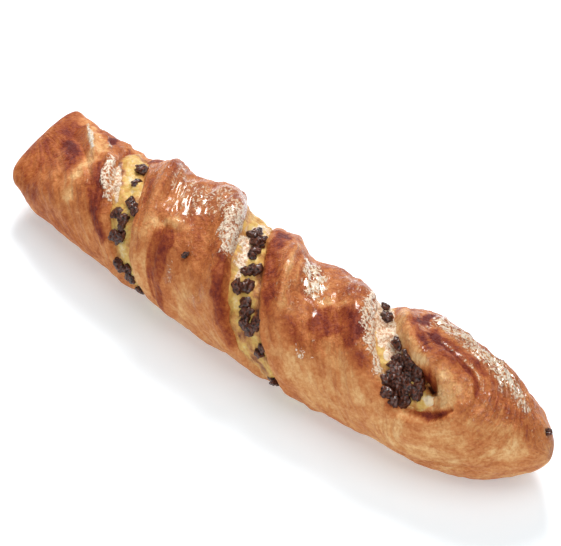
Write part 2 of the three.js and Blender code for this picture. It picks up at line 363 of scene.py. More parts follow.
FIRST_SEAM = Seam(
    angle=Course((
        (-106, -30), (-66, 62), (-53, 123), (-36.5, 215), (4, 305), (37, 400), (50, 460), (60, 485.5),
        (74, 495), (106, 560),
    )),
    half_angle=Course((
        (-72, 14), (-64, 27), (-56, 26), (-50, 24), (-38, 22), (-24, 12), (6, 12), (24, 16), (36, 17),
        (46, 17), (58, 19.5), (68, 20), (74, 14),
    )),
    depth=Course(((-75, 0), (-68, 3.4), (40, 3.2), (56, 6), (68, 6), (80, 0))),
    open=Course(((-73, 0), (-69, 1), (70, 1), (75, 0))),
    ridge_before=Course((
        (-106, 0), (-74, 0.6), (-35, 2), (0, 1.2), (24, 3.2), (36, 4.2), (60, 0.8), (76, 0),
    )),
    ridge_after=Course((
        (-106, 0), (-70, 0.4), (-56, 2.2), (-44, 3.9), (-35, 0.4), (30, 2.3), (44, 4.8), (57, 3.4),
        (76, 0.4), (88, 0),
    )),
)
SECOND_SEAM = Seam(
    angle=Course((
        (-106, -230), (-66, -150), (-42, -35), (-15.5, 37), (1, 125), (22, 217), (68, 345), (106, 430),
    )),
    half_angle=Course(((-66, 12), (-44, 12), (-30, 18), (-14, 22), (4, 26), (22, 22), (36, 12), (60, 12))),
    depth=Course(((-60, 0), (-50, 3), (60, 3), (70, 0))),
    open=Course(((-58, 0), (-52, 1), (60, 1), (66, 0))),
    ridge_before=Course((
        (-106, 0), (-70, 1), (-36, 1.1), (-24, 4.7), (-12, 5.2), (4, 0.5), (22, 1.4), (50, 1.5), (72, 0),
    )),
    ridge_after=Course((
        (-106, 0), (-62, 1), (-30, 1.6), (-14, 0.9), (3, 3.9), (12, 4), (22, 0.4), (50, 1.5), (76, 0),
    )),
)


@dataclass(frozen=True)
class TwistForm:
    """The body's form: an oval section carried along a curved middle, with ridges, folds and open seams."""

    half_width: Course = Course((
        (-106, 16.2), (-88, 18.7), (-60, 19.3), (-40, 21.5), (20, 19.9), (62, 20.2), (82, 20.1), (106, 15.3),
    ))
    sideways: Course = Course((
        (-106, 7.9), (-80, 3.6), (-50, 2.1), (-10, -1.5), (20, -3.6), (45, -1.9), (82, 0.5), (106, 3.2),
    ))
    height_per_half_width: float = 1.7
    middle_share: float = 0.48
    sink: float = 2.0
    fullness: float = 2.2
    tongue_end: float = -62.0
    tongue_thinning: float = 0.55
    tongue_tilt: float = 11.0
    tongue_middle: float = 17.6
    left_corner: RoundedEnd = RoundedEnd(7, 3.6)
    left_edge: RoundedEnd = RoundedEnd(22, 2.2)
    right_nose: RoundedEnd = RoundedEnd(46, 2)
    right_edge: RoundedEnd = RoundedEnd(33, 2.3)
    nose_lift_from: float = 84.0
    nose_lift: float = 3.0
    seams: tuple[Seam, Seam] = (FIRST_SEAM, SECOND_SEAM)
    ridge_before: tuple[float, float] = (49.0, 24.0)  # degrees from the seam to the middle, and spread
    ridge_after: tuple[float, float] = (80.0, 27.0)
    ridge_lean: tuple[float, float, float] = (55.0, 1.3, 0.15)  # angle of the top, sharpness, least share
    dip: tuple[float, float] = (0.4, 0.12)  # depth, and spread as a share of the gap between the seams
    twist_start: Range = (-72.0, -62.0)
    twist_end: Range = (66.0, 80.0)
    groove_widening: float = 1.1
    strip_radius: float = 10.0
    strip_shortening: float = 0.3
    swirl: tuple[float, float, float, float] = (70.0, 122.0, 13.0, 34.0)  # x, angle, near and far distance
    lap_x: float = -33.0
    lap_slope: float = 0.08
    lap_angles: Range = (115.0, 200.0)
    lap_fade: float = 12.0
    lap_height: float = 1.4
    lap_edge: float = 1.1
    lap_slide: Range = (2.2, 11.0)
    crease: tuple[float, float, float] = (-79.0, 95.0, 0.36)  # x, angle and slope in millimetres a degree
    crease_depth: float = 1.2
    crease_half: float = 2.2
    crease_ends: tuple[Range, Range] = ((20.0, 50.0), (110.0, 128.0))
    lip_rise: Range = (11.0, 23.0)
    lip_fall: Range = (32.0, 64.0)
    lip_ends: tuple[Range, Range] = ((42.0, 52.0), (66.0, 78.0))
    lip_height: float = 3.4

    def tongue(self, x: Array) -> Array:
        """Share of the flattened end's form, from 1 at the left end to 0 where the round body begins."""
        return 1 - ease(x, LEFT, self.tongue_end)

    def height(self, x: Array) -> Array:
        """Height of the round section."""
        return self.height_per_half_width * self.half_width.at(x)

    def middle(self, x: Array) -> tuple[Array, Array]:
        """Middle of the section at each station.

        Args:
            x: Places along the twist.

        Returns:
            Its y and its z.
        """
        lift = self.nose_lift * ease(x, self.nose_lift_from, RIGHT)
        z = np.maximum(self.middle_share * self.height(x), self.tongue_middle * self.tongue(x)) + lift
        return self.sideways.at(x), z

    def plain_radius(self, x: Array, angle: Array) -> Array:
        """Radius of the plain oval: (|cos| / across) ** n + (|sin| / reach) ** n = radius ** -n.

        Args:
            x: Places along the twist.
            angle: Angles round it.

        Returns:
            Radii, 0 at both ends.
        """
        tongue = self.tongue(x)
        wide = self.left_corner.share(x - LEFT) * self.right_nose.share(RIGHT - x)
        tall = self.left_edge.share(x - LEFT) * self.right_edge.share(RIGHT - x)
        tall = tall * (1 - self.tongue_thinning * tongue)
        up = np.radians(angle - self.tongue_tilt * tongue)
        above = (1 - self.middle_share) * self.height(x)
        below = self.middle_share * self.height(x) + self.sink
        across = np.maximum(self.half_width.at(x) * wide, 1e-6)
        reach = np.maximum(np.where(np.sin(up) < 0, below, above) * tall, 1e-6)
        level, upright = np.abs(np.cos(up)) / across, np.abs(np.sin(up)) / reach
        return (level**self.fullness + upright**self.fullness) ** (-1 / self.fullness)

    def folds(self, x: Array, angle: Array) -> Array:
        """Height of the outer sheet's lap and of the lip over the mouth, less the left end's crease.

        Args:
            x: Places along the twist.
            angle: Angles round it, from 0 to 360.

        Returns:
            Heights over the plain oval.
        """
        start, end = self.lap_angles
        past = x - self.lap_x - self.lap_slope * (angle - start)
        along = plateau(angle, (start - self.lap_fade, start), (end - self.lap_fade, end + self.lap_fade))
        lap = self.lap_height * along * plateau(past, (-self.lap_edge, self.lap_edge), self.lap_slide)
        crease_x, crease_angle, slope = self.crease
        off = x - crease_x - slope * (angle - crease_angle)
        crease = self.crease_depth * plateau(angle, *self.crease_ends) * bell(off, 0, self.crease_half)
        roll = plateau(self.seams[0].past(x, angle), self.lip_rise, self.lip_fall)
        lip = self.lip_height * plateau(x, *self.lip_ends)
        return lap - crease + lip * roll

    def ridges(self, x: Array, angle: Array) -> Array:
        """Height of the folds and of the rolls beside the seams, less the hollow halfway between seams.

        Args:
            x: Places along the twist.
            angle: Angles round it.

        Returns:
            Heights over the plain oval.
        """
        towards, sharpness, least = self.ridge_lean
        lean = (0.5 + 0.5 * np.cos(np.radians(angle - towards))) ** sharpness
        standing = least + (1 - least) * lean
        height = self.folds(x, turn(angle))
        gaps = np.full((2, *height.shape), 360.0)
        for seam in self.seams:
            past = seam.past(x, angle)
            gaps = np.minimum(gaps, np.stack([past, 360 - past]))
            height = height + standing * seam.ridge_after.at(x) * bell(past, *self.ridge_after)
            height = height + standing * seam.ridge_before.at(x) * bell(360 - past, *self.ridge_before)
        depth, spread = self.dip
        twisted = plateau(x, self.twist_start, self.twist_end)
        return height - depth * lean * twisted * bell(gaps[0] / gaps.sum(0), 0.5, spread)

    def grooves(self, x: Array, angle: Array) -> Array:
        """Depth of the open seams: depth times e to the minus (degrees off over half width) ** 4.

        Args:
            x: Places along the twist.
            angle: Angles round it.

        Returns:
            Depths under the ridges.
        """
        depth = 0
        for seam in self.seams:
            half = self.groove_widening * seam.half_angle.at(x)
            depth += seam.depth.at(x) * np.exp(-((seam.off(x, angle) / half) ** 4))
        return depth

    def strip(self, x: Array, angle: Array) -> Array:
        """Places on the untwisted strip, where a streak along the seams runs along the first axis.

        Away from the mouth they are the shortened x and a circle turned by the angle past the first seam.
        Near the mouth they become the shortened bearing round it and the distance from it, so that streaks
        run in arcs.

        Args:
            x: Places along the twist.
            angle: Angles round it.

        Returns:
            Points, in millimetres.
        """
        past = np.radians(self.seams[0].past(x, angle))
        round_ = self.strip_radius
        parts = np.broadcast_arrays(x * self.strip_shortening, round_ * np.cos(past), round_ * np.sin(past))
        straight = np.stack(parts, axis=-1)
        middle_x, middle_angle, near, far = self.swirl
        across = MM_PER_DEGREE * half_turn(angle - middle_angle)
        distance = np.hypot(x - middle_x, across)
        bearing = np.arctan2(across, x - middle_x) * near * self.strip_shortening
        arcs = np.stack(np.broadcast_arrays(bearing, distance, 0), axis=-1)
        share = (1 - ease(distance, near, far)) * ease(x - middle_x, -near, 0)
        return straight + share[..., None] * (arcs - straight)

    def place(self, x: Array, radius: Array, angle: Array) -> Array:
        """Points at a radius and an angle round each station's middle, never under the resting surface.

        Args:
            x: Places along the twist.
            radius: Distances from the middle.
            angle: Angles round it.

        Returns:
            Points, with x, y and z on the last axis.
        """
        y, z = self.middle(x)
        across = y + radius * np.cos(np.radians(angle))
        up = np.maximum(z + radius * np.sin(np.radians(angle)), 0)
        return np.stack(np.broadcast_arrays(x, across, up), axis=-1)


# ---------------------------------------------------------------- meshes


def new_object(name: str, points: Array, faces: list, smooth: bool = True) -> bpy.types.Object:
    """An object at the origin, from points in millimetres.

    Args:
        name: The piece's name.
        points: Corner places, one row each.
        faces: Corner numbers of each face, turning left seen from outside.
        smooth: Whether the faces are shaded smooth.

    Returns:
        The linked object.
    """
    mesh = bpy.data.meshes.new(name)
    mesh.from_pydata((points * MM).tolist(), [], faces)
    mesh.polygons.foreach_set("use_smooth", np.full(len(mesh.polygons), smooth))
    mesh.update()
    piece = bpy.data.objects.new(name, mesh)
    bpy.context.scene.collection.objects.link(piece)
    return piece


def tube_faces(rings: int, around: int) -> list:
    """Faces of a closed tube: quads between rings, and a fan of triangles to a tip at each end.

    The tips are the two points after the last ring's.

    Args:
        rings: Number of rings.
        around: Points on each ring.

    Returns:
        Corner numbers of each face.
    """
    grid = np.arange(rings * around).reshape(rings, around)
    beside = np.roll(grid, -1, axis=1)
    quads = np.stack([grid[:-1], beside[:-1], beside[1:], grid[1:]], axis=-1).reshape(-1, 4)
    tip = rings * around
    first = np.stack([np.full(around, tip), beside[0], grid[0]], axis=-1)
    last = np.stack([np.full(around, tip + 1), grid[-1], beside[-1]], axis=-1)
    return quads.tolist() + first.tolist() + last.tolist()


def give_attribute(piece: bpy.types.Object, name: str, values: Array) -> None:
    """Stores one number, or one vector, a corner on a piece.

    Args:
        piece: The piece.
        name: The attribute's name, which materials read.
        values: One value or one row a corner.
    """
    kind, field_name = ("FLOAT", "value") if values.ndim == 1 else ("FLOAT_VECTOR", "vector")
    attribute = piece.data.attributes.new(name, kind, "POINT")
    attribute.data.foreach_set(field_name, values.astype(np.float32).ravel())


def with_tips(values: Array) -> Array:
    """One row a corner of a closed tube: each ring's in turn, then the mean of each end ring for its tip."""
    rows = values.reshape(-1, *values.shape[2:])
    return np.concatenate([rows, [values[0].mean(axis=0), values[-1].mean(axis=0)]])


# ---------------------------------------------------------------- shading


class Tree:
    """A node tree under construction, of a material or of a group."""

    def __init__(self, tree: bpy.types.NodeTree) -> None:
        """Takes a node tree."""
        self.tree = tree

    def add(self, kind: str, inputs: dict | None = None, **settings: object) -> bpy.types.Node:
        """Adds a node.

        Args:
            kind: Its type, where a shader node's goes without the leading ShaderNode.
            inputs: Values or output sockets for its inputs, by name or number.
            settings: The node's own properties.

        Returns:
            The node.
        """
        node = self.tree.nodes.new(kind if kind.startswith("Node") else "ShaderNode" + kind)
        for name, value in settings.items():
            setattr(node, name, value)
        for name, value in (inputs or {}).items():
            self.put(value, node.inputs[name])
        return node

    def put(self, value: object, socket: Socket) -> None:
        """Links an output to a socket, or sets the socket to a value.

        Args:
            value: An output socket, a number, a vector or a colour.
            socket: The input.
        """
        if isinstance(value, Socket):
            self.tree.links.new(value, socket)
        elif isinstance(value, tuple) and len(socket.default_value) > len(value):
            socket.default_value = (*value, 1)
        else:
            socket.default_value = value

    def value(self, kind: str, inputs: dict | None = None, **settings: object) -> Socket:
        """Adds a node and gives its first output."""
        return self.add(kind, inputs, **settings).outputs[0]

    def attribute(self, name: str) -> Socket:
        """A number stored on the piece."""
        return self.add("Attribute", attribute_name=name).outputs["Fac"]

    def strip(self) -> Socket:
        """The piece's stored places on the untwisted strip, in millimetres."""
        return self.add("Attribute", attribute_name="strip").outputs["Vector"]

    def sum(self, *terms: tuple[Socket, float], start: float = 0.0) -> Socket:
        """A starting number plus sockets, each times its share.

        Args:
            terms: The sockets and their shares.
            start: The starting number.

        Returns:
            The sum.
        """
        result = start
        for socket, share in terms:
            result = self.value("Math", {0: socket, 1: share, 2: result}, operation="MULTIPLY_ADD")
        return result

    def product(self, a: Socket, b: Socket) -> Socket:
        """Product of two numbers."""
        return self.value("Math", {0: a, 1: b}, operation="MULTIPLY")

    def clamped(self, value: Socket, low: float, high: float) -> Socket:
        """A range of values stretched to 0 to 1, and held there."""
        return self.value("MapRange", {"Value": value, "From Min": low, "From Max": high})

    def mix(self, share: object, first: object, second: object, blend: str = "MIX") -> Socket:
        """Mix of two colours.

        Args:
            share: How much of the second there is, from 0 to 1.
            first: The first colour.
            second: The second.
            blend: How they are mixed.

        Returns:
            The mixed colour.
        """
        node = self.add("Mix", data_type="RGBA", blend_type=blend)
        self.put(share, node.inputs[0])
        self.put(first, node.inputs[6])
        self.put(second, node.inputs[7])
        return node.outputs[2]

    def ramp(self, value: Socket, stops: Stops) -> Socket:
        """Colour ramp.

        Args:
            value: The place on it.
            stops: Places and colours, in order.

        Returns:
            The colour.
        """
        node = self.add("ValToRGB", {0: value})
        elements = node.color_ramp.elements
        while len(elements) < len(stops):
            elements.new(0.5)
        for element, (place, colour) in zip(elements, stops):
            element.position = place
            element.color = (*colour, 1)
        return node.outputs[0]


MOTTLE_RANGE: Range = (0.34, 0.66)  # noise values that become 0 and 1
WRINKLE_RANGE: Range = (0.4, 1.5)  # ridged noise values that become 0 and 1
WRINKLE_TANGLE = 0.6  # how far the wrinkles are bent out of line


class SharedEffect(Enum):
    """Effects that more than one finish uses, each a node group built once."""

    MOTTLE = "mottle"
    WRINKLE = "wrinkle"

    def group(self) -> bpy.types.NodeTree:
        """This effect's node group, built on first use: noise of a stated size in millimetres.

        Returns:
            The group.
        """
        found = bpy.data.node_groups.get(self.value)
        if found:
            return found
        tree = bpy.data.node_groups.new(self.value, "ShaderNodeTree")
        for name in ("Size", "Detail"):
            tree.interface.new_socket(name, in_out="INPUT", socket_type="NodeSocketFloat")
        tree.interface.new_socket("Where", in_out="INPUT", socket_type="NodeSocketVector")
        tree.interface.new_socket("Value", in_out="OUTPUT", socket_type="NodeSocketFloat")
        build = Tree(tree)
        given = build.add("NodeGroupInput").outputs
        scale = build.value("Math", {0: 1.0, 1: given["Size"]}, operation="DIVIDE")
        inputs = {"Vector": given["Where"], "Scale": scale, "Detail": given["Detail"]}
        if self is SharedEffect.MOTTLE:
            noise = build.clamped(build.value("TexNoise", inputs), *MOTTLE_RANGE)
        else:
            tangled = {**inputs, "Distortion": WRINKLE_TANGLE, "Offset": 1.0}
            ridges = build.value("TexNoise", tangled, noise_type="RIDGED_MULTIFRACTAL")
            noise = build.clamped(ridges, *WRINKLE_RANGE)
        build.add("NodeGroupOutput", {0: noise})
        return tree

    def place(self, build: Tree, where: Socket, grain: Grain) -> Socket:
        """Places this effect in a finish.

        Args:
            build: The finish's tree.
            where: Places in millimetres.
            grain: Size of its features, and how many finer octaves are added.

        Returns:
            Values from 0 to 1.
        """
        inputs = {"Size": grain[0], "Detail": grain[1], "Where": where}
        return build.value("Group", inputs, node_tree=self.group())


def new_material(name: str) -> tuple[bpy.types.Material, Tree, bpy.types.Node]:
    """A material with an empty Principled shader.

    Args:
        name: The material's name.

    Returns:
        The material, its tree and its shader.
    """
    material = bpy.data.materials.new(name)
    material.use_nodes = True
    return material, Tree(material.node_tree), material.node_tree.nodes["Principled BSDF"]


def solid_place(build: Tree) -> Socket:
    """Places on the piece in millimetres."""
    where = build.add("TexCoord").outputs["Object"]
    return build.value("VectorMath", {0: where, 1: (1 / MM, 1 / MM, 1 / MM)}, operation="MULTIPLY")


@dataclass(frozen=True)
class Finish:
    """What every finish of the pastry has: roughness, gloss, a clear coat and relief, in millimetres."""

    roughness: float
    gloss: float
    coat: float
    coat_roughness: float
    relief: float

    def dress(self, build: Tree, shader: bpy.types.Node, colour: Socket, height: Socket) -> None:
        """Sets the shader's numbers, and links its colour and its bump.

        Args:
            build: The material's tree.
            shader: Its Principled shader.
            colour: The base colour.
            height: The bump's height, as a share of the relief.
        """
        shader.inputs["Roughness"].default_value = self.roughness
        shader.inputs["Specular IOR Level"].default_value = self.gloss
        shader.inputs["Coat Weight"].default_value = self.coat
        shader.inputs["Coat Roughness"].default_value = self.coat_roughness
        build.put(colour, shader.inputs["Base Color"])
        bump = build.value("Bump", {"Height": height, "Strength": 1.0, "Distance": self.relief * MM})
        build.put(bump, shader.inputs["Normal"])


@dataclass(frozen=True)
class CrustFinish(Finish):
    """Egg-glazed baked dough: pale where sheltered, brown on top, burnt in spots, streaked along the strip.

    It reads the attributes bake, frost, glaze and strip. The glaze sets the coat and painted highlights.
    """

    roughness: float = 0.55
    gloss: float = 0.2
    coat: float = 0.0
    coat_roughness: float = 0.14
    relief: float = 0.30
    bake: Stops = (
        (0.0, (0.81, 0.51, 0.24)),
        (0.2, (0.67, 0.325, 0.12)),
        (0.4, (0.55, 0.192, 0.058)),
        (0.58, (0.42, 0.115, 0.028)),
        (0.76, (0.29, 0.056, 0.015)),
        (0.9, (0.20, 0.030, 0.012)),
        (1.0, (0.13, 0.015, 0.009)),
    )
    # Painted highlight colours: pale gold at the lines' edges, and white, the white also being the frost's
    # sugar.
    highlight_edge: Colour = (0.80, 0.50, 0.22)
    sugar_and_highlight: Colour = (0.91, 0.775, 0.61)
    crack: Colour = (0.54, 0.25, 0.12)
    broad: Grain = (5.0, 3.0)
    fine: Grain = (1.1, 5.0)
    grit: Grain = (0.5, 2.0)
    sheet: Grain = (4.0, 3.0)
    streak: Grain = (1.3, 4.0)
    wrinkle: Grain = (1.4, 2.0)
    crease: Grain = (1.6, 2.0)

    def material(self) -> bpy.types.Material:
        """Ramp of bake with blotches and streaks, whitened by sugar and painted highlight, coated where
        glazed.

        Returns:
            The crust's material.
        """
        material, build, shader = new_material("baked_crust")
        solid, strip = solid_place(build), build.strip()
        broad, fine, grit = (
            SharedEffect.MOTTLE.place(build, solid, grain) for grain in (self.broad, self.fine, self.grit)
        )
        sheet = SharedEffect.MOTTLE.place(build, strip, self.sheet)
        streak = SharedEffect.MOTTLE.place(build, strip, self.streak)
        wrinkle = SharedEffect.WRINKLE.place(build, strip, self.wrinkle)
        crease = SharedEffect.WRINKLE.place(build, solid, self.crease)
        bake = build.attribute("bake")
        frost = build.attribute("frost")
        glaze = build.attribute("glaze")
        # The skin: how brown it is, with blotches in place and streaks along the strip.
        blotches = build.sum((broad, 0.22), (sheet, 0.18), (fine, 0.17), (streak, 0.13), (grit, 0.08))
        tone = build.sum((bake, 1.0), (blotches, 1.0), start=-0.39)
        skin = build.ramp(tone, self.bake)
        # Dry sugar on the frosted patches, its white partly painted highlight, broken by small brown cracks.
        crackle = build.clamped(build.sum((fine, 0.7), (grit, 0.5), (crease, 0.6)), 0.45, 1.15)
        crackled_sugar_and_highlight = build.mix(crackle, self.crack, self.sugar_and_highlight)
        sugar_and_highlight_patches = build.sum((fine, 1.2), (crease, 0.9), (grit, 0.4), (frost, 2.4), start=-3.0)
        colour = build.mix(build.clamped(sugar_and_highlight_patches, 0.0, 0.6), skin, crackled_sugar_and_highlight)
        # Painted highlights: pale lines where the glaze has wrinkled, whiter and denser with more glaze.
        highlight_lines = build.sum((wrinkle, 0.65), (crease, 0.85), (fine, 0.3), (glaze, 0.85), start=-1.72)
        strength = build.sum((glaze, 0.75), start=0.05)
        highlight_colour = build.mix(build.clamped(highlight_lines, 0.0, 0.4), self.highlight_edge, self.sugar_and_highlight)
        colour = build.mix(build.product(build.clamped(highlight_lines, -0.08, 0.25), strength), colour, highlight_colour)
        # The relief of the skin and of the patches, and the glaze's wet gloss.
        cracked = build.sum((wrinkle, 0.8), (crease, 0.6), (fine, 0.8), (grit, 0.35))
        shown = build.value("Math", {0: glaze, 1: frost}, operation="MAXIMUM")
        height = build.sum(
            (build.product(cracked, shown), 0.8), (fine, 0.5), (streak, 0.35), (wrinkle, 0.15), (grit, 0.15)
        )
        self.dress(build, shader, colour, height)
        wet = build.sum((glaze, 1.2), (fine, 0.6), start=-0.7)
        build.put(build.clamped(wet, 0.0, 0.6), shader.inputs["Coat Weight"])
        return material


@dataclass(frozen=True)
class CustardFinish(Finish):
    """Baked custard with a satin skin: browned by its bake attribute, whitened by sugar and painted
    highlight.
    """

    roughness: float = 0.42
    gloss: float = 0.22
    coat: float = 0.1
    coat_roughness: float = 0.15
    relief: float = 0.35
    bake: Stops = (
        (0.0, (0.80, 0.66, 0.44)),
        (0.3, (0.69, 0.45, 0.12)),
        (0.55, (0.56, 0.27, 0.075)),
        (0.8, (0.32, 0.11, 0.035)),
        (1.0, (0.07, 0.02, 0.01)),
    )
    sugar_and_highlight: Colour = (0.86, 0.72, 0.55)
    crack: Colour = (0.52, 0.26, 0.13)
    scatter: float = 0.1
    scatter_radius: Colour = (0.003, 0.0016, 0.0006)
    broad: Grain = (4.0, 3.0)
    fine: Grain = (1.1, 3.0)
    grit: Grain = (0.5, 2.0)

    def material(self) -> bpy.types.Material:
        """Ramp of bake with blotches of two sizes, which also lift the surface.

        Returns:
            The custard's material.
        """
        material, build, shader = new_material("baked_custard")
        solid = solid_place(build)
        broad, fine, grit = (
            SharedEffect.MOTTLE.place(build, solid, grain) for grain in (self.broad, self.fine, self.grit)
        )
        tone = build.sum((build.attribute("bake"), 1.0), (broad, 0.34), (fine, 0.2), start=-0.28)
        skin = build.ramp(tone, self.bake)
        # Dry sugar on the frosted patches, its white partly painted highlight.
        crackle = build.clamped(build.sum((fine, 0.6), (grit, 0.5)), 0.25, 0.75)
        crackled_sugar_and_highlight = build.mix(crackle, self.crack, self.sugar_and_highlight)
        dried_sugar_and_highlight = build.clamped(build.sum((build.attribute("frost"), 1.4), (fine, 0.6), start=-0.75), 0.0, 0.6)
        height = build.sum((broad, 0.6), (fine, 0.5))
        self.dress(build, shader, build.mix(dried_sugar_and_highlight, skin, crackled_sugar_and_highlight), height)
        shader.inputs["Subsurface Weight"].default_value = self.scatter
        shader.inputs["Subsurface Radius"].default_value = self.scatter_radius
        shader.inputs["Subsurface Scale"].default_value = 1.0
        return material


@dataclass(frozen=True)
class ChocolateFinish(Finish):
    """Baked chocolate chip: near black, glossy, with a crumbly skin."""

    roughness: float = 0.45
    gloss: float = 0.12
    coat: float = 0.7
    coat_roughness: float = 0.08
    relief: float = 0.5
    dark: Colour = (0.011, 0.003, 0.002)
    lighter: Colour = (0.17, 0.044, 0.02)
    fine: Grain = (0.8, 3.0)

    def material(self) -> bpy.types.Material:
        """Small blotches mix two browns and lift the surface.

        Returns:
            The chips' material.
        """
        material, build, shader = new_material("baked_chocolate")
        fine = SharedEffect.MOTTLE.place(build, solid_place(build), self.fine)
        self.dress(build, shader, build.mix(fine, self.dark, self.lighter), fine)
        return material


@dataclass(frozen=True)
class WhiteFinish:
    """A matt white surface, which glows a little so that it stays white round the shadow."""

    colour: Colour = (0.85, 0.885, 0.92)
    roughness: float = 0.9
    gloss: float = 0.1
    glow_colour: Colour = (0.9, 1.0, 1.02)
    glow: float = 0.24

    def material(self) -> bpy.types.Material:
        """One white, the same all over.

        Returns:
            The surface's material.
        """
        material, build, shader = new_material("white_surface")
        build.put(self.colour, shader.inputs["Base Color"])
        build.put(self.glow_colour, shader.inputs["Emission Color"])
        shader.inputs["Roughness"].default_value = self.roughness
        shader.inputs["Specular IOR Level"].default_value = self.gloss
        shader.inputs["Emission Strength"].default_value = self.glow
        return material


# ---------------------------------------------------------------- the pieces


